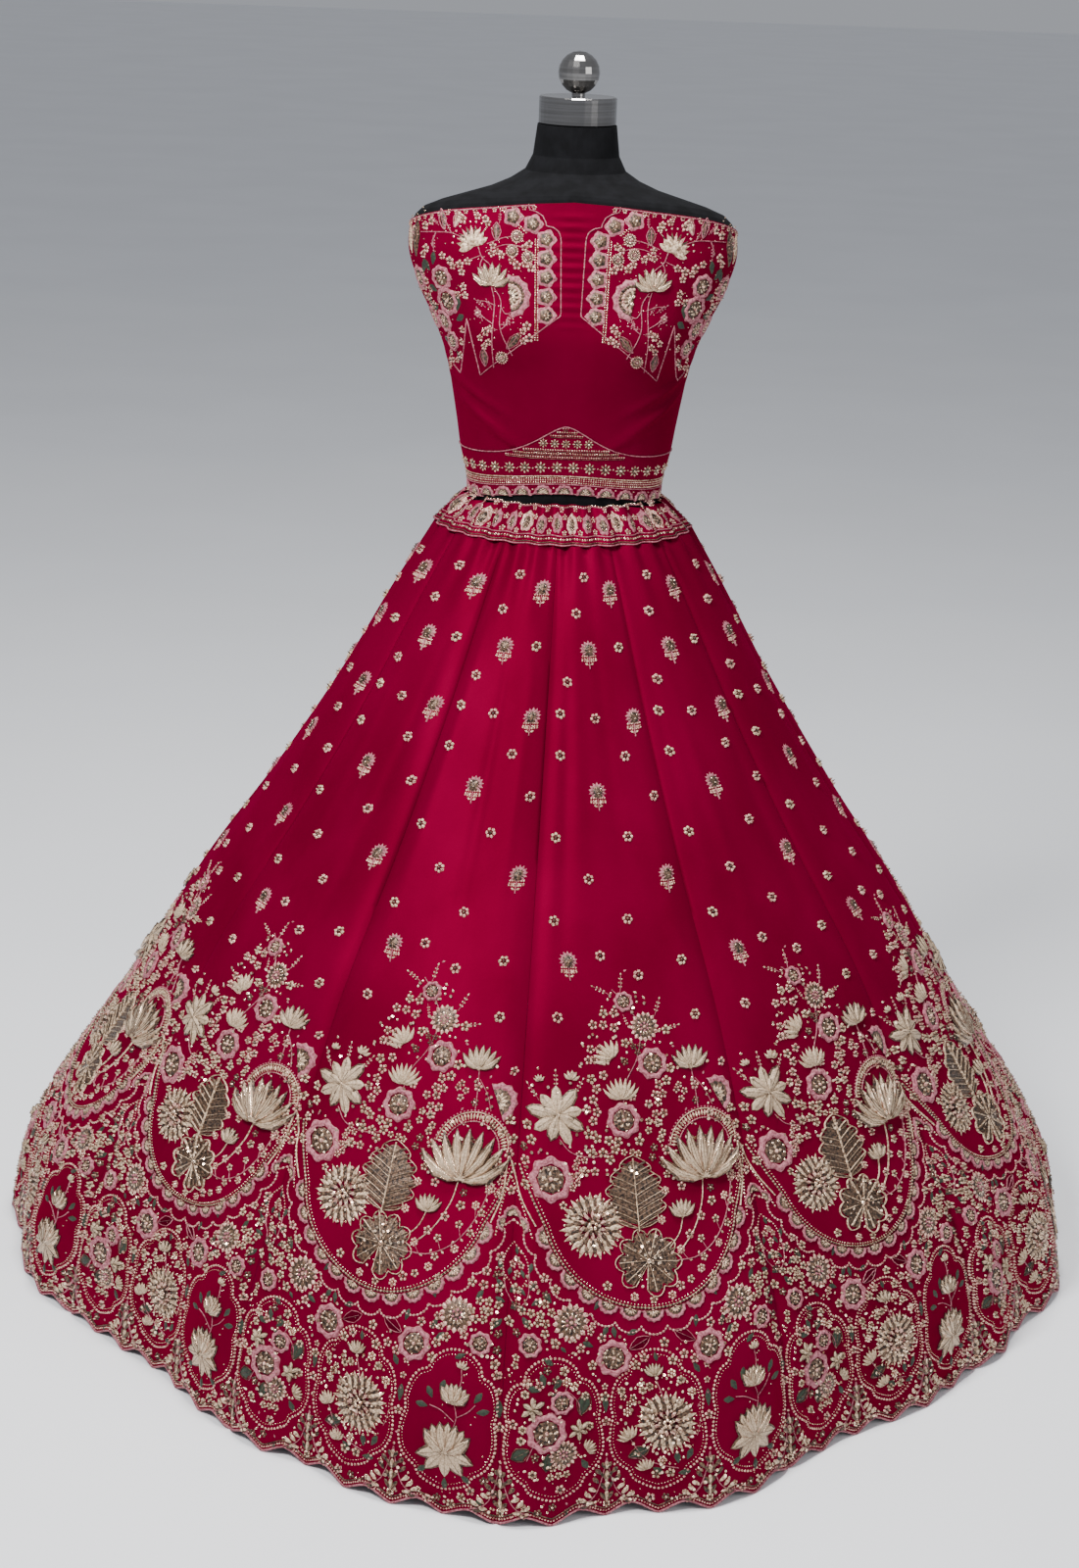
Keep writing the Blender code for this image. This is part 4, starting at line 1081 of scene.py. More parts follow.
def add_pond(work):
    """Inside the arch: the halo over the padded lotus, its stems, leaves, the dahlia and a branch."""
    for radius, width, thread in ((44, 1.6, PALE), (33.5, 1.4, ROSE)):
        arc = [polar(math.degrees(a), radius, HALO) for a in np.linspace(-1.40, 1.42, 32)]
        cord(work, arc, width, 1.2, thread)
        beaded(work, arc, 3.4, 1.2, PEARL, sides=4)
    for turn in np.linspace(-80, 81, 31):
        work.place(plain_petal(10.4, 3.4, 1.8, PALE), *polar(turn, 34, HALO), turn)
        work.place(bead(1.5, ROSE), *polar(turn, 46, HALO))
    stems(work, [[(78, 371), (74, 345), (60, 315), (38, 291)]], 1.8, 1.4, PALE, 6)
    stems(work, [[(48, 331), (42, 314), (28, 298)]], 1.6, 1.3, PALE, 6)
    branch = smooth_path([(36, 284), (62, 286), (88, 302), (106, 330), (116, 366), (118, 396)], 6)
    cord(work, branch, 1.6, 1.2, ROSE)
    small, berries = blossom(5.0, 5), blossom(5.4, 6, PEARL, SEQUIN)
    for k, (x, y) in enumerate(resample(branch, 13)[1:]):
        side = 1 if k % 2 else -1
        turn = 40 + 6 * k
        dx, dy = polar(turn + 90, side * 10)
        cord(work, [(x, y), (x + dx * 0.5, y + dy * 0.5 + 2), (x + dx, y + dy + 4)], 0.9, 0.8, ROSE)
        work.place(small if k % 3 else berries, x + dx, y + dy + 5, k * 19)
        work.place(plain_petal(6.5, 3.4, 1.3, PALE), x, y, turn - side * 50 + 20)
    set_out(work, (
        (dahlia(38), (-60, 328)), (shell_leaf(82, 66), (-6, 322)), (pad_leaf(37), (2, 286, 20)),
        (lotus(37, 7, 130, False), (48, 331)),
        (berries, (96, 272), (64, 272), (-18, 247), (26, 247), (22, 330), (30, 362)),
        (small, (78, 262), (50, 262, 20), (106, 288, 9), (4, 243, 9), (-92, 352, 4), (34, 380)),
        (sprig(16, 2), (-70, 375, -16)), (cluster(18, 26, 4.4, PEARL, 12), (-78, 382)),
        (cluster(10, 40, 4.2, PEARL, 13), (126, 372)),
    ))


def add_arch(work):
    """The arch: a line of gold, ruffled half-round petals on it, and a scalloped cord of beads."""
    foot = [arch_point(turn, ARCH_RADIUS) for turn in np.linspace(-78, 78, 40)]
    edge = panel_half_width(392) - 3
    line = smooth_path([(-edge, 394), (-126, 358), *foot, (130, 358), (edge, 394)], 2)
    cord(work, line, 2.4, 1.4, ANTIQUE)
    inner = [(x * 0.972 + 0.2, y + 3.2) for x, y in line]
    beaded(work, line, 4.2, 1.7, PALE)
    beaded(work, inner, 4.0, 1.3, SEQUIN, sides=4)
    shell = half_rose(13.0)
    ends = (ARCH_PETALS - 1) / 2 * ARCH_PETAL_STEP
    for turn in np.linspace(-ends, ends, ARCH_PETALS):
        work.place(shell, *arch_point(turn, ARCH_RADIUS + 2.5), 180 - turn)
        work.place(blossom(4.2, 5, PEARL, SEQUIN), *arch_point(turn, ARCH_RADIUS + 5), turn)
    turns = np.linspace(-ends - 6.1, ends + 6.1, ARCH_PETALS * 9 + 1)
    waves = np.sqrt(np.abs(np.cos((turns + ends) / ARCH_PETAL_STEP * math.pi)))
    radii = ARCH_CORD_RADIUS + ARCH_CORD_WAVE * waves
    scallops = [arch_point(turn, radius) for turn, radius in zip(turns, radii)]
    side = panel_half_width(330) - 1
    whole = [(-side, 333), *scallops, (side, 333)]
    cord(work, whole, 2.0, 0.8, ROSE)
    beaded(work, whole, 4.2, 1.75, PEARL)


def medallion_outline():
    """Half of the medallion's outline, from its top down, mirrored into a whole one."""
    half = [
        (0, 79), (15, 76), (27, 66), (31, 55), (41, 50), (49, 38), (53, 20), (51, 6), (54, -8), (55, -26),
        (50, -42), (41, -52), (33, -58), (28, -68), (14, -76), (0, -80),
    ]
    return smooth_path(half + [(-x, y) for x, y in half[-2:0:-1]], 3, closed=True)


def add_medallion(work, across, rows, stem_paths, stem_width):
    """A medallion's two rows of beads, and inside them its stems and motifs."""
    middle = (across, MEDALLION_HEIGHT)
    beaded(work, medallion_outline() + middle, 4.6, 1.9, PEARL, closed=True)
    beaded(work, medallion_outline() * 0.93 + middle, 3.6, 0.95, SEQUIN, closed=True, sides=4)
    stems(work, stem_paths, stem_width, middle=middle)
    set_out(work, rows, *middle)


def add_medallions(work):
    green, dark = leaf(15, 9, LEAF, None), leaf(25, 17)
    small, gold = blossom(5.2, 6), blossom(5.8, 6, SEQUIN, PEARL)
    roses = (
        (rose(22, 5), (-8, -1)), (bullion(15.5), (10, -27)), (rose(13, 6), (10, 30)),
        (dark, (30, 14, 20), (-27, -18, -118, 0.9), (-6, -24, 190, 0.8)),
        (green, (-8, 50, -14), (-14, 45, -70), (1, 46, 46), (-2, 40, 100), (30, -36, 150)),
        (star_flower(13, 6), (-22, 26)), (star_flower(12, 6), (28, -2)),
        (cluster(26, 20, 4.8, PALE, 14), (2, -50)),
        (small, (-34, 4), (-36, -8, 9), (36, 34, 12), (-24, -46), (-30, 42, 6), (40, 0)),
        (gold, (16, 52), (24, 46, 20)), (small_lotus(22, 7), (36, -26, 60)),
    )
    blooms = (
        (dahlia(36), (10, -3)), (lotus(26, 7, 130, False), (-2, 50, -6)),
        (small_lotus(28, 7), (-32, -20, -30)), (leaf(26, 14), (-34, -42, 66)),
        (small_lotus(24, 7), (-14, -56, -20)),
        (green, (22, -50, -8), (32, -46, 26), (22, -62, 84), (6, -62, -60)),
        (cluster(22, 12, 4.6, SEQUIN, 15), (-30, 24)), (gold, (-34, 10), (18, 52), (40, 30), (4, -46, 30)),
        (small, (-16, 34), (28, 44, 8), (-8, 38, 8), (-40, 34)), (sprig(20, 2), (44, -20, 14, 0.8)),
    )
    ponds = (
        (corded_petal(31, 15, 1.8), (0, -34, 176)),
        (corded_petal(32, 15, 1.8, 0.8), (0, -34, 138), (0, -34, -140)),
        (corded_petal(33, 14, 1.8, 1.6), (0, -34, 104), (0, -34, -104)),
        (lotus(62, 7, 126, True, True, 1.6), (0, -36)), (lotus(40, 7, 120, True, True, 1.7), (2, 20, 4)),
        (green, (-22, 22, -30), (-26, 12, -80), (-14, 30, 14), (26, 26, 30), (30, 16, 76), (-18, -56, -120),
            (20, -58, 120), (2, -66, 176)),
        (small_lotus(16, 5), (6, 60, 10)),
    )
    rose_stems = (
        [(8, 30), (16, 48), (10, 56)], [(-8, -1), (-22, -14), (-30, -30)],
        [(30, 14), (28, 28), (18, 40), (12, 36)],
    )
    bloom_stems = (
        [(-2, 50), (4, 34), (8, 20)], [(-34, -42), (-14, -46), (4, -52), (22, -56)],
        [(-32, -20), (-22, -36), (-10, -48)],
    )
    pond_stems = (
        [(0, -40), (4, -15), (8, 5), (2, 24)], [(8, 5), (20, 14), (28, 24)],
        [(6, 0), (-10, 10), (-24, 14)], [(2, 24), (8, 44), (6, 60)],
    )
    add_medallion(work, -MEDALLION_PITCH, roses, rose_stems, 1.3)
    add_medallion(work, 0, blooms, bloom_stems, 1.4)
    add_medallion(work, MEDALLION_PITCH, ponds, pond_stems, 1.4)


def add_vines(work):
    """Roses, coiled flowers and leaves between the arch and the medallions, and the seam's trefoil."""
    # The ringed leaf is filled with darker silk: painted shade inside its rim
    green, ringed = leaf(14, 8, LEAF, None), leaf(27, 13, PAINTED_SHADE, ROSE)
    small, berries = blossom(6.0, 5), blossom(5.8, 5, PEARL, ANTIQUE)
    seam = -panel_half_width(330)

    def from_seam(side, places):
        return smooth_path([(seam + side * x, y) for x, y in places])

    cord(work, from_seam(1, [(-26, 330), (-10, 362), (0, 402), (10, 362), (26, 330)]), 2.0, 1.4, PALE)
    for side in (-1, 1):
        beaded(work, from_seam(side, [(21, 318), (12, 350), (0, 384)]), 4.2, 1.5, SEQUIN)
        vase = from_seam(side, [(0, 310), (12, 296), (14, 278), (5, 262), (0, 240)])
        beaded(work, vase, 3.4, 1.2, PEARL)
        work.place(half_rose(9), seam + side * 10, 330, side * 70)
        cord(work, from_seam(side, [(0, 240), (12, 256), (15, 284)]), 1.2, 0.9, ROSE)
        for up, turn in ((246, 60), (262, 40), (280, 20)):
            work.place(green, seam + side * 15, up, side * turn, 0.85)
            work.place(green, seam + side * 9, up - 6, -side * turn, 0.7)
    set_out(work, (
        (half_rose(11), (seam, 338, 0)), (cluster(14, 20, 4.2, PEARL, 16), (seam, 288)),
        (berries, (seam, 366), (-12, 180, 9), (34, 182), (-84, 196), (120, 206), (-120, 275), (132, 278),
            (46, 176)),
        (rose(20, 7), (-47, 181)), (rose(19, 8), (65, 187)), (bullion(20), (-93, 225)),
        (bullion(19.5), (108, 226)), (rose(13, 9), (-140, 204)), (rose(13, 10), (140, 200)),
        (ringed, (-28, 190, 62), (48, 196, -62)),
        (green, (-44, 203, -6), (50, 210, 10), (-70, 196, -60), (88, 196, 50), (-58, 206, 30),
            (-30, 206, 70), (44, 172, 150), (82, 206, 20), (-140, 222, -30), (150, 218, 40),
            (-126, 190, 130), (126, 186, -120), (-114, 248, -30), (126, 246, 30), (-66, 236, 40),
            (80, 240, -30), (0, 186, 170, 0.8)),
        (cluster(34, 34, 5.4, PALE, 17), (-128, 234)), (cluster(30, 36, 5.4, PALE, 18), (140, 232)),
        (cluster(12, 20, 4.6, PEARL, 19), (-70, 212)), (cluster(14, 20, 4.6, PEARL, 20), (86, 212)),
        (small, (-22, 172), (12, 196, 4), (88, 176, 4), (-72, 176, 6), (100, 200, 8), (-112, 204, 8),
            (-152, 262), (150, 262, 9), (-108, 262, 5), (118, 264, 5), (-60, 186), (20, 176, 6),
            (-162, 226), (160, 180, 10)),
        (cluster(10, 22, 4.4, PALE, 21), (-158, 184)),
    ))
    for across in (-1.5, -0.5, 0.5):
        x = across * MEDALLION_PITCH
        work.place(leaf(20, 9, LEAF, None), x, 122)
        work.place(cluster(7, 24, 4.2, PEARL, 22), x, 156)
        work.place(berries, x, 112)
        work.place(bush(), x, 11, size=1.14)


def add_hem(work):
    """The scalloped edge: a rose piping, a row of beads and a line of gold."""
    share = np.linspace(0, 1, SCALLOPS_PER_PANEL * 14 + 1)
    across = (share - 0.5) * 2 * panel_half_width(5)
    edge = scallop_height(share) / MM
    cord(work, np.column_stack([across, edge + 0.6]), 2.8, 1.8, ROSE)
    beaded(work, np.column_stack([across, edge + 5.2]), 3.4, 1.5, PEARL)
    cord(work, np.column_stack([across, edge + 8.4]), 1.8, 1.2, ANTIQUE)
    for x in across[7::14]:
        work.place(blossom(4.0, 5, SEQUIN), x, 24)
    rng = np.random.default_rng(7)
    strewn = np.column_stack([rng.uniform(-172, 172, 110), rng.uniform(18, 200, 110)])
    beads_at(work, strewn, 1.1, SEQUIN, 4)


def in_garden(x, y):
    """The ground over the arch, up to the spray's own ragged top."""
    top = 628 - 1.5 * abs(x - 4) if -60 < x < 68 else 504
    above_arch = y >= ARCH_MIDDLE[1] or math.dist((x, y), ARCH_MIDDLE) < ARCH_GROUND_INSIDE
    return abs(x) < panel_half_width(y) - SEAM_CLEARANCE and above_arch and y < top


def in_vines(x, y):
    """The ground under the arch, round the medallions and, in two of them, inside."""
    if abs(x) > panel_half_width(y) - SEAM_CLEARANCE:
        return False
    if math.dist((x, y), ARCH_MIDDLE) < ARCH_GROUND_OUTSIDE:
        return False
    turn = round(x / MEDALLION_PITCH)
    half_width, half_height = MEDALLION_HALF
    away = math.hypot((x - turn * MEDALLION_PITCH) / half_width, (y - MEDALLION_HEIGHT) / half_height)
    return away > 1.10 or (away < 0.86 and turn != 1)


def add_fillers(work):
    """The small blossoms, sequins and buds that cover the ground between the motifs."""
    small = (
        blossom(5.8, 5, PEARL, ANTIQUE), blossom(6.0, 5, PEARL, ANTIQUE), blossom(5.2, 5, ANTIQUE, SEQUIN),
        blossom(6, 5),
    )
    buds = (plain_petal(6.4, 3.6, 1.4, PALE), plain_petal(6.0, 3.4, 1.3, ROSE), bead(1.9, SEQUIN, 6))
    leaves = (leaf(9, 5, LEAF, None), sprig(11, 2, PALE), sprig(10, 2, ROSE))
    fill(work, in_garden, (-170, 372), (170, 640), 1700, 0.8, 6.0, small + buds[:1] + leaves[1:], 5)
    fill(work, in_garden, (-120, 240), (130, 372), 260, 2.5, 9.0, small + leaves[1:], 6)
    fill(work, in_vines, (-178, 14), (178, 330), 3600, 0.5, 20.0, small + leaves, 7)
    fill(work, in_vines, (-178, 14), (178, 330), 3600, 0.2, 12.0, buds, 8)
    fill(work, in_garden, (-170, 372), (170, 640), 1300, 0.3, 5.0, buds, 9)
    rng = np.random.default_rng(10)
    spots = [p for p in rng.uniform((-178, 14), (178, 330), (420, 2)) if in_vines(*p)]
    spots += [p for p in rng.uniform((-140, 372), (140, 590), (150, 2)) if in_garden(*p)]
    sequins_at(work, spots, 1.9, 11, 1.9)
    spots = []
    for x, y, reach, count in ((-60, 328, 33, 46), (2, 286, 30, 30), (10, 107, 33, 40)):
        draws = rng.uniform((3, 0), (reach, 6.28), (count, 2))
        spots += [(x + r * math.sin(a), y + r * math.cos(a)) for r, a in draws]
    sequins_at(work, spots, 1.7, 12, 3.4)


def panel_embroidery():
    work = Work()
    add_field(work)
    add_garden(work)
    add_pond(work)
    add_arch(work)
    add_vines(work)
    add_medallions(work)
    add_hem(work)
    add_fillers(work)
    return work.whole()


# The choli's embroidery, in millimetres round from the centre front and above the floor.
# The front's left half is laid out, and mirrored for the right.


def round_blouse(azimuths, heights):
    """Distances round the blouse from the centre front, in millimetres."""
    rows = np.abs(ARC_HEIGHTS[None, :] - heights[:, None]).argmin(axis=1)
    return np.array([np.interp(a, ARC_AZIMUTHS, ARCS[row]) for a, row in zip(azimuths, rows)]) / MM


BUST_OUTLINE = (
    (-55, 1407), (-54, 1401), (-47, 1400), (-38, 1395), (-34, 1388), (-33, 1383.5), (-24, 1382),
    (-17.5, 1377), (-15, 1370), (-12, 1281), (-63, 1243), (-113.5, 1201), (-126, 1247), (-132, 1270.5),
    (-151.5, 1198), (-170, 1206),
)


def bust_flower(radius):
    """The shell of the bust panels: ruffled rose lobes round an antique heart with gold rays."""
    made = Work()
    made.place(stretched(dome(radius, 1.2, 20, ROSE, 0.13, 5), 1.0, 1.08))
    made.place(dome(radius * 0.80, 2.0, 15, ANTIQUE, 0.12, 5))
    rays = plain_petal(radius * 0.56, radius * 0.22, 1.0, PALE, 2.0)
    spread(made, rays, (-80, -40, 0, 40, 80), 0, -radius * 0.04)
    for angle in (-72, -36, 0, 36, 72):
        made.place(bead(radius * 0.11, PEARL, 5, 2.6), *polar(angle, radius * 0.74))
    made.place(dome(radius * 0.20, 3.8, 6, SEQUIN), 0, -radius * 0.08)
    return made


def fan_lotus(width):
    """A lotus whose upper half is a fan of beads."""
    made = Work()
    for k, angle in enumerate(np.linspace(-62, 62, 9)):
        made.place(plain_petal(width * 0.62, width * 0.15, 1.4, PEARL if k % 2 else ANTIQUE), 0, 0, angle)
        made.place(bead(1.7, SEQUIN if k % 2 else PEARL), *polar(angle, width * 0.62))
    spread(made, petal(width * 0.46, width * 0.17, 1.8, PALE, 0.8), (-84, -62, -40, 40, 62, 84), 0, -1)
    spread(made, petal(width * 0.34, width * 0.16, 2.0, PALE, 1.4), (-18, 0, 18), 0, -1)
    return made


def half_shell(radius):
    """Half of a large flower: a rose rim of thread, filled with rows of beads from its flat edge."""
    made = Work()
    made.place(half_rose(radius))
    rows = ((0.18, 4, SEQUIN), (0.34, 7, ANTIQUE), (0.50, 11, PEARL), (0.66, 14, ANTIQUE))
    for share, count, thread in rows:
        arc = [polar(turn, radius * share) for turn in np.linspace(-84, 84, count)]
        beads_at(made, arc, radius * 0.095, thread, 5, 1.2)
    return made


def bust():
    work = Work()
    outline = np.array(BUST_OUTLINE, float)
    cord(work, resample(outline, 4), 1.7, 1.2, ROSE)
    beaded(work, outline[:-6], 3.2, 0.9, PEARL, sides=4)
    for across in (-45.6, -42.6):
        beaded(work, [(across, 1367), (across + 3.4, 1252)], 2.9, 1.35, SEQUIN)
    beaded(work, [(-92, 1402), (-74, 1390), (-57, 1375)], 3.0, 1.3, SEQUIN)
    set_out(work, [(
        bust_flower(12.0), (-32.5, 1368, 90), (-31.7, 1346, 90), (-31, 1324, 90), (-30.3, 1302, 90),
        (-29.8, 1281, 90), (-49, 1385, 90), (-73, 1392, 90),
    )])
    stems(work, (
        [(-97, 1310), (-93, 1291), (-95, 1252), (-93, 1214)],
        [(-94, 1310), (-85, 1294), (-85, 1264), (-69, 1232)], [(-86, 1290), (-79, 1281), (-70, 1284)],
        [(-91, 1289), (-104, 1293), (-116, 1293)], [(-94, 1268), (-106, 1274), (-112, 1279)],
        [(-85, 1262), (-78, 1268), (-76, 1276)], [(-115, 1356), (-110, 1344), (-100, 1336), (-96, 1326)],
        [(-112, 1346), (-126, 1340), (-140, 1334)], [(-108, 1345), (-112, 1334), (-106, 1324)],
        [(-125, 1361), (-150, 1369), (-178, 1368), (-198, 1366)],
        [(-104, 1360), (-84, 1368), (-68, 1370)], [(-104, 1352), (-82, 1360), (-62, 1358), (-54, 1349)],
        [(-150, 1369), (-158, 1381), (-166, 1388)], [(-172, 1368), (-176, 1360), (-178, 1352)],
    ), 1.3, 1.1, each=6)
    small, gem = (blossom(size, 5, PEARL, ANTIQUE) for size in (5.0, 5.8))
    plain = blossom(4.6, 5, PALE, ANTIQUE)
    green, twig, spray = leaf(14, 9, LEAF, None), sprig(15, 3, ROSE), cluster(14, 20, 4.6, PEARL, 31)
    set_out(work, (
        (lotus(47, 7, 164, True), (-97, 1313)), (fan_lotus(44), (-121, 1357, -26)),
        (half_shell(25), (-74, 1301, 82)), (bullion(7.6), (-67.7, 1370), (-73.2, 1353), (-54, 1347)),
        (leaf(21, 11, ANTIQUE, ROSE), (-93, 1364)), (spray, (-97, 1352)),
        (small, (-53, 1362), (-58, 1358, 9), (-57, 1339), (-73, 1342), (-86, 1348), (-148, 1331),
            (-136, 1325), (-128, 1338), (-112, 1250), (-100, 1246), (-106, 1240), (-98, 1262), (-56, 1250),
            (-57, 1262, 8), (-117, 1391), (-107, 1388), (-194, 1340), (-180, 1380), (-226, 1362),
            (-224, 1296), (-158, 1214), (-146, 1240, 6), (-142, 1256)),
        (gem, (-50, 1335), (-67, 1337), (-138, 1334), (-152, 1337), (-104, 1258), (-52.4, 1268),
            (-49, 1254), (-136, 1386), (-188, 1348), (-190, 1374), (-150, 1222)),
        (twig, (-104, 1286, -60), (-96, 1284, -34, 0.8), (-78, 1268, 24), (-86, 1268, 78),
            (-108, 1270, -30), (-88, 1262, -96, 0.7), (-176, 1364, 178), (-168, 1376, -50, 0.8),
            (-90, 1384, 4, 0.8)),
        (blossom(5.6, 6, ROSE, PALE), (-115, 1279)), (leaf(24, 12, ANTIQUE, ROSE), (-105, 1214, -8)),
        (leaf(26, 12, ANTIQUE, ROSE), (-76, 1240, 40)), (bullion(8.0), (-82, 1228)),
        (leaf(24, 10, ANTIQUE, ROSE), (-160, 1372, -14)), (leaf(20, 9, PALE, ROSE), (-146, 1376, 16)),
        (plain, (-104, 1384), (-140, 1390)), (rose(15, 21), (-166, 1315)), (rose(17, 22), (-160, 1288)),
        (rose(14, 23), (-176, 1262)), (rose(13, 24), (-166, 1238)),
        (green, (-184, 1322, -40, 1.3), (-178, 1330, 10, 1.2), (-146, 1278, 10, 1.5), (-150, 1266, 60, 1.2),
            (-176, 1298, -70, 1.2), (-182, 1278, -100, 1.2), (-158, 1226, 150), (-178, 1234, -60),
            (-198, 1318, 20, 1.3), (-196, 1276, -10, 1.2)),
        (cluster(16, 30, 5.2, PEARL, 32), (-138, 1302)), (cluster(14, 14, 5.0, PEARL, 33), (-160, 1339)),
        (cluster(16, 26, 4.8, PEARL, 34), (-178, 1214)), (petal(46, 18, 2.4, ANTIQUE), (-210, 1336, 4)),
        (petal(40, 14, 2.0, PALE), (-222, 1338, -14)), (cluster(20, 60, 5.0, PEARL, 35), (-200, 1292)),
        (rose(15, 25), (-212, 1310)), (rose(14, 26), (-206, 1262)), (bullion(10), (-212, 1362)),
    ))
    rng = np.random.default_rng(12)
    strewn = np.column_stack([rng.uniform(-232, -50, 170), rng.uniform(1236, 1396, 170)])
    keep = [p for p in strewn if p[0] < -140 or p[1] > 1200 - 0.66 * (p[0] + 113)]
    beads_at(work, keep, 1.0, SEQUIN, 4)
    return work


def neck_edge():
    """The row of small beaded petals along the shoulder part of the neckline."""
    work = Work()
    for side in (-1, 1):
        azimuths = np.radians(np.linspace(27, 95, 50)) * side
        heights = neckline(azimuths)
        line = np.column_stack([round_blouse(azimuths, heights), heights / MM - 1.6])
        cord(work, line, 1.8, 1.3, ROSE)
        for x, y in resample(line, 12.0):
            work.place(blossom(3.2, 5, PEARL, ANTIQUE), x, y - 2.4)
    return work


def choli_front_embroidery():
    work = Work()
    half = bust()
    work.place(half)
    work.place(half, flip=True)
    work.place(neck_edge())
    return work.whole()


def belt_flower(radius):
    made = Work()
    made.place(dome(radius * 0.60, 0.8, 8, ANTIQUE))
    made.place(round_petals(8, radius * 1.06, radius * 0.28, radius * 0.40, 1.6, PALE))
    made.place(dome(radius * 0.26, 2.6, 6, SEQUIN))
    return made


BELT_FRONT_DEPTH = 43.0


def belt_line(low, high, up):
    """Points round the belt, at a height over its lower edge that is given for the centre front."""
    azimuths = np.linspace(low, high, 160)
    bottom = rim_height(BELT_BOTTOM, azimuths)
    stretch = 1 + 0.4 * ((BELT_TOP - bottom) / MM / BELT_FRONT_DEPTH - 1)
    heights = bottom + up * MM * stretch
    return np.column_stack([round_blouse(azimuths, heights), heights / MM])


def belt_embroidery(low, high):
    """The belt's rows between two azimuths: cords, sequins, flowers and rose petals."""
    work = Work()
    azimuths = np.linspace(low, high, 120)
    seam = belt_seam(azimuths) - 1.8 * MM
    cord(work, np.column_stack([round_blouse(azimuths, seam), seam / MM]), 1.8, 1.5, ROSE)
    for up, thread in ((23.2, PALE), (12.9, ROSE), (0.9, ROSE)):
        cord(work, belt_line(low, high, up), 1.7, 1.3, thread)
    for up, thread in ((20.8, SEQUIN), (18.2, PEARL), (15.4, SEQUIN)):
        beaded(work, belt_line(low, high, up), 3.0, 1.35, thread)
    if low < 0 < high:
        rows = ((1113.4, 58, PEARL), (1108.8, 66, SEQUIN), (1104.2, 76, PEARL), (1136.5, 20, SEQUIN),
                (1131.8, 28, PEARL), (1141.0, 10, PEARL))
        for up, half, thread in rows:
            row = [x for x in np.arange(-half, half + 0.1, 3.0) if up < seam_above(x) - 3]
            beads_at(work, [(x, up) for x in row], 1.4, thread)
            cord(work, [(x, up - 2.3) for x in row], 1.0, 1.0, ANTIQUE)
        for x in (-28, -14, 0, 14, 28):
            work.place(belt_flower(6.2), x, 1121.5)
    flower, shell = belt_flower(7.8), half_rose(12.4)
    for x, y in resample(belt_line(low, high, 34.2)[3:-3], 20.4):
        work.place(flower, x, y)
        work.place(bead(1.3, SEQUIN), x + 10.2, y)
    for x, y in resample(belt_line(low, high, 0.6)[3:-3], 25.6):
        work.place(shell, x, y, size=0.96)
        work.place(blossom(4.6, 6, SEQUIN, PEARL), x, y + 4.4)
        work.place(bead(1.5, PEARL), x + 12.8, y + 8)
    return work.whole()


def seam_above(across):
    """Height of the belt's seam, in millimetres, over a place on its front."""
    azimuth = np.interp(across * MM, ARCS[12], ARC_AZIMUTHS)
    return float(belt_seam(azimuth)) / MM


# The waistband's embroidery, in millimetres round from the centre front and up from its lower edge


def teardrop(size, rim):
    """A gathered waistband flower: a ruffled drop of thread round antique petals."""
    made = Work()
    made.place(stretched(dome(8.6, 1.5, 20, rim, 0.10, 7), 0.92, 1.30), 0, 0.6)
    made.place(stretched(dome(5.6, 2.3, 10, ANTIQUE), 0.90, 1.42), 0, -0.4)
    spread(made, plain_petal(6.4, 1.7, 1.0, PALE, 2.0), (-54, -18, 18, 54), 0, -2.4)
    beads_at(made, [(-2.2, -3.6), (0, -5.2), (2.2, -3.6)], 1.0, SEQUIN, 5, 1.8)
    made.place(bead(1.5, PEARL, 6, 3.4), 0, -1.6)
    scaled = Work()
    scaled.place(made, size=size)
    return scaled


def band_embroidery(low, high):
    work = Work()
    drops = (teardrop(1.12, ROSE), teardrop(1.12, PEARL), teardrop(1.04, ROSE))
    small, berries = blossom(3.8, 5, PEARL, SEQUIN), blossom(3.6, 5, PALE, ROSE)
    for k, x in enumerate(np.arange(low + 12, high - 8, 22.4)):
        work.place(drops[k % 3], x, 23.5 + (k % 2) * 1.5, (k * 37) % 19 - 9)
        work.place(small if k % 2 else berries, x + 11.2, 33 - (k % 3) * 2)
        work.place(berries, x + 11.2, 15.4)
        work.place(small, x + 6, 41)
    across = np.arange(low + 0.5, high, 2.2)
    for up, width, thread in ((1.2, 1.8, ROSE), (3.6, 1.3, ANTIQUE), (11.4, 1.5, ROSE), (43.4, 1.4, ROSE)):
        cord(work, np.column_stack([across, np.full(len(across), up)]), width, 1.4, thread)
    for k, x in enumerate(np.arange(low + 2, high - 1, 3.3)):
        work.place(bead(1.7, (SEQUIN, PEARL, ANTIQUE)[k % 3]), x, 7.7)
    beads_at(work, [(x, 44.4) for x in np.arange(low + 2, high - 1, 3.6)], 1.3, SEQUIN)
    return work.whole()


# Objects

# Angle between faces over which a shell's edge stays sharp
SHELL_SMOOTH_DEG = 60


def mesh_piece(name, points, faces, materials, slots=None, smooth_angle=0):
    mesh = bpy.data.meshes.new(name)
    mesh.from_pydata(np.asarray(points, float), [], faces)
    for made in materials:
        mesh.materials.append(made)
    if slots is not None:
        mesh.polygons.foreach_set("material_index", np.asarray(slots, dtype=np.int32))
    mesh.update()
    mesh.shade_smooth()
    if smooth_angle:
        mesh.set_sharp_from_angle(angle=math.radians(smooth_angle))
    made = bpy.data.objects.new(name, mesh)
    bpy.context.scene.collection.objects.link(made)
    return made


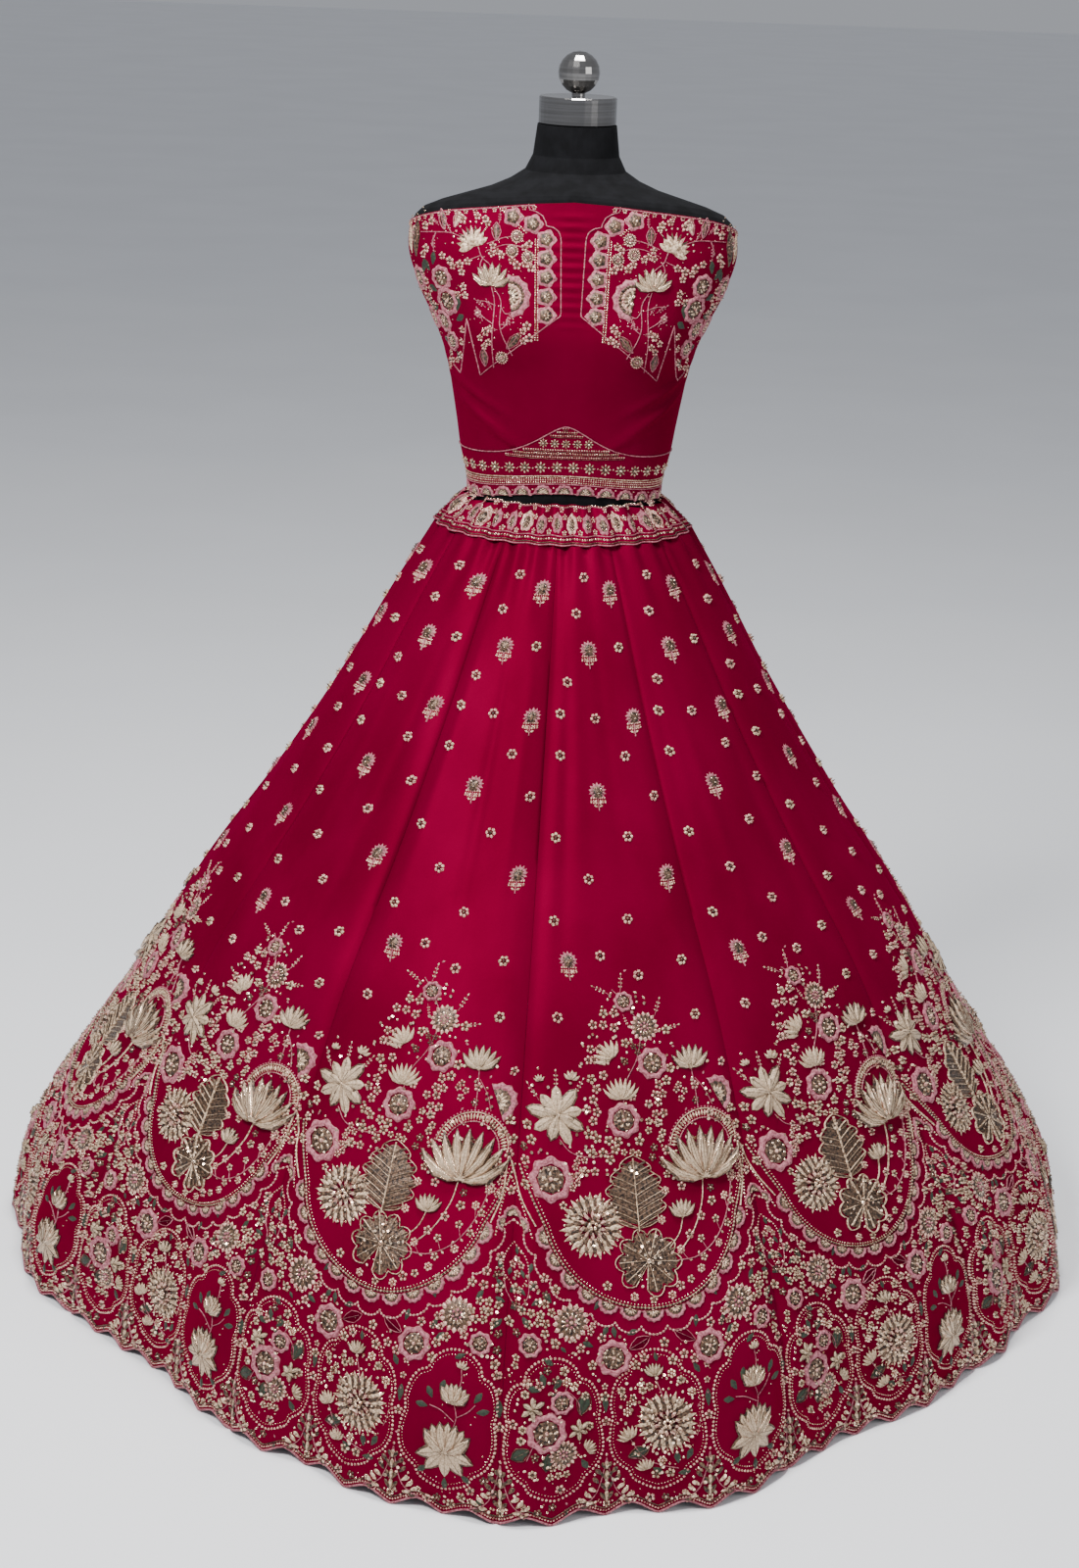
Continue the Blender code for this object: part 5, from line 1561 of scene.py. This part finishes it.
def cloth_shell(name, node, slot, outer, inner):
    """A closed thin shell in a solid's place, between two grids of points with their top row first."""
    rows, columns = outer.shape[:2]
    total = rows * columns
    number = np.arange(total).reshape(rows, columns)
    a, b, c, d = number[:-1, :-1], number[:-1, 1:], number[1:, 1:], number[1:, :-1]
    face = np.stack([a, d, c, b], axis=-1).reshape(-1, 4)
    back = np.stack([a, b, c, d], axis=-1).reshape(-1, 4) + total

    def rim(line):
        return np.stack([line[:-1], line[1:], line[1:] + total, line[:-1] + total], axis=1)

    edges = [rim(number[0]), rim(number[-1][::-1]), rim(number[::-1, 0]), rim(number[:, -1])]
    faces = np.concatenate([face, back, *edges])
    slots = np.concatenate([np.zeros(len(face)), np.ones(len(back)), np.zeros(sum(map(len, edges)))])
    points = np.concatenate([outer.reshape(-1, 3), inner.reshape(-1, 3)])
    made = mesh_piece(name, points, faces, [SILK, SILK_INSIDE], slots, SHELL_SMOOTH_DEG)
    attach(made, "root")
    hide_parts(node)
    return made


def worked(name, wrap, flat, faces, threads):
    """A piece of raised embroidery, wrapped onto its cloth."""
    made = mesh_piece(name, wrap(flat), faces, THREADS, threads)
    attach(made, "root")
    return made


PANEL_STEPS_ACROSS = 38
PANEL_STEPS_UP = 70
HEM_BAND_TOP = 0.030


def panel_sheet(number, depth):
    """A grid of points of a panel at a depth under its outer face."""
    share = np.linspace(0, 1, PANEL_STEPS_ACROSS + 1)
    level = np.linspace(SKIRT_TOP, HEM_BAND_TOP, PANEL_STEPS_UP)
    heights = [np.full_like(share, z) for z in level]
    edge = scallop_height(share)
    heights += [HEM_BAND_TOP + (edge - HEM_BAND_TOP) * q for q in (0.35, 0.7, 1.0)]
    z = np.stack(heights)
    azimuth = FIRST_SEAM + (number + share[None, :]) * PANEL_ANGLE
    radius = skirt_radius(azimuth, z)
    step = 0.004
    under, over = np.maximum(z - step, 0), np.minimum(z + step, SKIRT_TOP)
    slope = (skirt_radius(azimuth, under) - skirt_radius(azimuth, over)) / (over - under)
    size = np.hypot(1, slope)
    radius = radius - depth / size
    drop = depth * slope / size
    drop[0] = 0
    margin = SEAM_GAP / 2 / radius
    azimuth = azimuth + margin * (1 - 2 * share[None, :])
    return at(azimuth, radius, np.maximum(z - drop, 0.0))


# The padded lotus: its foot on the panel, in millimetres across, up and out, and how much it is raised
PADDED_LOTUS_PLACE = (80, 371, 0.3)
PADDED_LOTUS_RELIEF = 1.5


def make_skirt():
    flat, faces, threads = panel_embroidery()
    for number in range(PANELS):
        label = f"{number + 1:02d}"
        grids = [panel_sheet(number, depth) for depth in (0.0, SKIRT_WALL)]
        cloth = cloth_shell(f"kali_silk_{label}", f"kali_{label}", "silk", *grids)
        raised = worked(f"kali_work_{label}", on_panel(number), flat, faces, threads)
        petals = Work()
        petals.place(lotus(106, 9, 158, True, False))
        lotus_flat, lotus_faces, lotus_threads = petals.whole()
        lotus_flat = lotus_flat * (1, 1, PADDED_LOTUS_RELIEF) + PADDED_LOTUS_PLACE
        padded = worked(f"padded_lotus_{label}", on_panel(number), lotus_flat, lotus_faces, lotus_threads)
        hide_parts(f"lotus_{label}")


def belt_bottom(azimuth):
    return rim_height(BELT_BOTTOM, azimuth)


def blouse_grid(azimuths, upper, lower, rows, depth):
    level = np.linspace(0, 1, rows)[:, None]
    height = upper(azimuths)[None, :] * (1 - level) + lower(azimuths)[None, :] * level
    return at(azimuths[None, :], blouse_radius(azimuths[None, :], height) - depth, height)


# Points across and down the grids of the choli, its belt and the waistband
FRONT_COLUMNS = 97
BACK_COLUMNS = 41
BODICE_ROWS = 96
BELT_ROWS = 16
BAND_COLUMNS = 225
BAND_ROWS = 15


def make_blouse():
    margin = SEAM_GAP / 2 / BLOUSE_SEAM_RADIUS
    front = np.linspace(-SIDE_SEAM + margin, SIDE_SEAM - margin, FRONT_COLUMNS)
    right = np.linspace(SIDE_SEAM + margin, math.pi - margin, BACK_COLUMNS)
    for name, azimuths in (("front", front), ("back_right", right), ("back_left", -right[::-1])):
        parts = (
            (f"choli_{name}", neckline, lambda a: belt_seam(a) + SEAM_GAP / 2, BODICE_ROWS),
            (f"choli_belt_{name}", lambda a: belt_seam(a) - SEAM_GAP / 2, belt_bottom, BELT_ROWS),
        )
        for node, upper, lower, rows in parts:
            grids = [blouse_grid(azimuths, upper, lower, rows, depth) for depth in (0.0, BLOUSE_WALL)]
            cloth = cloth_shell(f"{node}_silk", node, "silk", *grids)
            belt = "belt" in node
            carried = []
            if belt or name == "front":
                layout = belt_embroidery(azimuths[0], azimuths[-1]) if belt else choli_front_embroidery()
                carried = [worked(f"{node}_work", on_blouse, *layout)]


def make_band():
    for name, start in (("waistband_front", -math.pi / 2), ("waistband_back", math.pi / 2)):
        share = np.linspace(0, 1, BAND_COLUMNS)
        margin = SEAM_GAP / 2 / BAND_SEAM_RADIUS
        azimuth = start + margin + share * (math.pi - 2 * margin)
        level = np.linspace(0, 1, BAND_ROWS)[:, None]
        top = rim_height(BAND_TOP, azimuth)[None, :]
        height = top + (BAND_BOTTOM_HEIGHT - top) * level
        radius = band_radius(azimuth[None, :], level)
        grids = [at(azimuth[None, :], radius - depth, height) for depth in (0, BAND_WALL)]
        cloth = cloth_shell(f"{name}_silk", name, "worked_silk", *grids)
        low = -BAND_LENGTH_MM / 2 if name == "waistband_front" else BAND_LENGTH_MM / 2
        raised = worked(f"{name}_work", on_band, *band_embroidery(low, low + BAND_LENGTH_MM))


def finish_form():
    jersey = shader_material("black_jersey", (0.004, 0.004, 0.005), 0.9)
    set_shader(jersey, "Specular IOR Level", 0.12)
    colour_between(jersey, noise(jersey, 60.0, 3.0), (0.0025, 0.0025, 0.003), (0.005, 0.005, 0.006))
    bump(jersey, noise(jersey, 1.0, 1.0, (1600, 1600, 2400)), 0.25, 0.0004)
    steel = shader_material("polished_steel", (0.62, 0.62, 0.61), 0.16, 1.0)
    colour_between(steel, noise(steel, 1.0, 2.0, (8, 8, 400)), (0.24, 0.23, 0.22), (0.34, 0.33, 0.32))
    bump(steel, noise(steel, 1.0, 1.0, (60, 60, 1800)), 0.05, 0.0002)
    enamel = shader_material("black_enamel", (0.02, 0.02, 0.02), 0.35, coat=0.3)
    colour_between(enamel, noise(enamel, 30.0), (0.014, 0.014, 0.014), (0.028, 0.028, 0.028))
    bump(enamel, noise(enamel, 400.0), 0.08, 0.0004)
    finishes = {
        "form_torso": jersey, "form_neck_cap": steel, "form_knob": steel, "form_pole": steel,
        "form_base": enamel,
    }
    for node, made in finishes.items():
        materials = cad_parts[node].data.materials
        materials.clear()
        materials.append(made)


# Setting

FLOOR_HALF = 40.0
WORLD_COLOUR = (0.80, 0.83, 0.90, 1)
WORLD_STRENGTH = 0.44
LIGHTS = table(
    "name place size power",
    ("key_light", (-1.35, -2.0, 3.25), 0.8, 150.0), ("fill_light", (2.6, -2.4, 2.4), 2.0, 35.0),
    ("top_light", (0.1, -0.3, 4.2), 1.0, 140.0),
)
LIGHTS_AIM = Vector((0, 0, 1.25))


def make_setting():
    finish = shader_material("pale_floor", (0.90, 0.91, 0.93), 0.75)
    colour_between(finish, noise(finish, 1.4), (0.88, 0.89, 0.91), (0.91, 0.92, 0.94))
    corners = [(x * FLOOR_HALF, y * FLOOR_HALF, 0) for x, y in ((-1, -1), (1, -1), (1, 1), (-1, 1))]
    floor = mesh_piece("floor", corners, [(0, 1, 2, 3)], [finish])
    world = bpy.data.worlds.new("studio")
    world.use_nodes = True
    background = world.node_tree.nodes["Background"]
    background.inputs["Color"].default_value = WORLD_COLOUR
    background.inputs["Strength"].default_value = WORLD_STRENGTH
    bpy.context.scene.world = world
    for light in LIGHTS:
        lamp = bpy.data.lights.new(light.name, "AREA")
        lamp.size = light.size
        lamp.energy = light.power
        piece = bpy.data.objects.new(light.name, lamp)
        piece.location = light.place
        piece.rotation_euler = (LIGHTS_AIM - piece.location).to_track_quat("-Z", "Y").to_euler()
        bpy.context.scene.collection.objects.link(piece)


def make_camera():
    lens = bpy.data.cameras.new("camera")
    lens.sensor_fit = "AUTO"
    lens.sensor_width = CAMERA_SENSOR
    lens.lens = CAMERA_FOCAL_PIXELS / CAMERA_LONG_SIDE_PIXELS * CAMERA_SENSOR
    camera = bpy.data.objects.new("camera", lens)
    camera.location = CAMERA_PLACE
    camera.rotation_mode = "XYZ"
    level = Matrix.Rotation(math.pi / 2 - CAMERA_PITCH, 3, "X")
    camera.rotation_euler = (level @ Matrix.Rotation(CAMERA_ROLL, 3, "Z")).to_euler()
    bpy.context.scene.collection.objects.link(camera)
    bpy.context.scene.camera = camera


make_camera()
make_skirt()
make_blouse()
make_band()
finish_form()
make_setting()
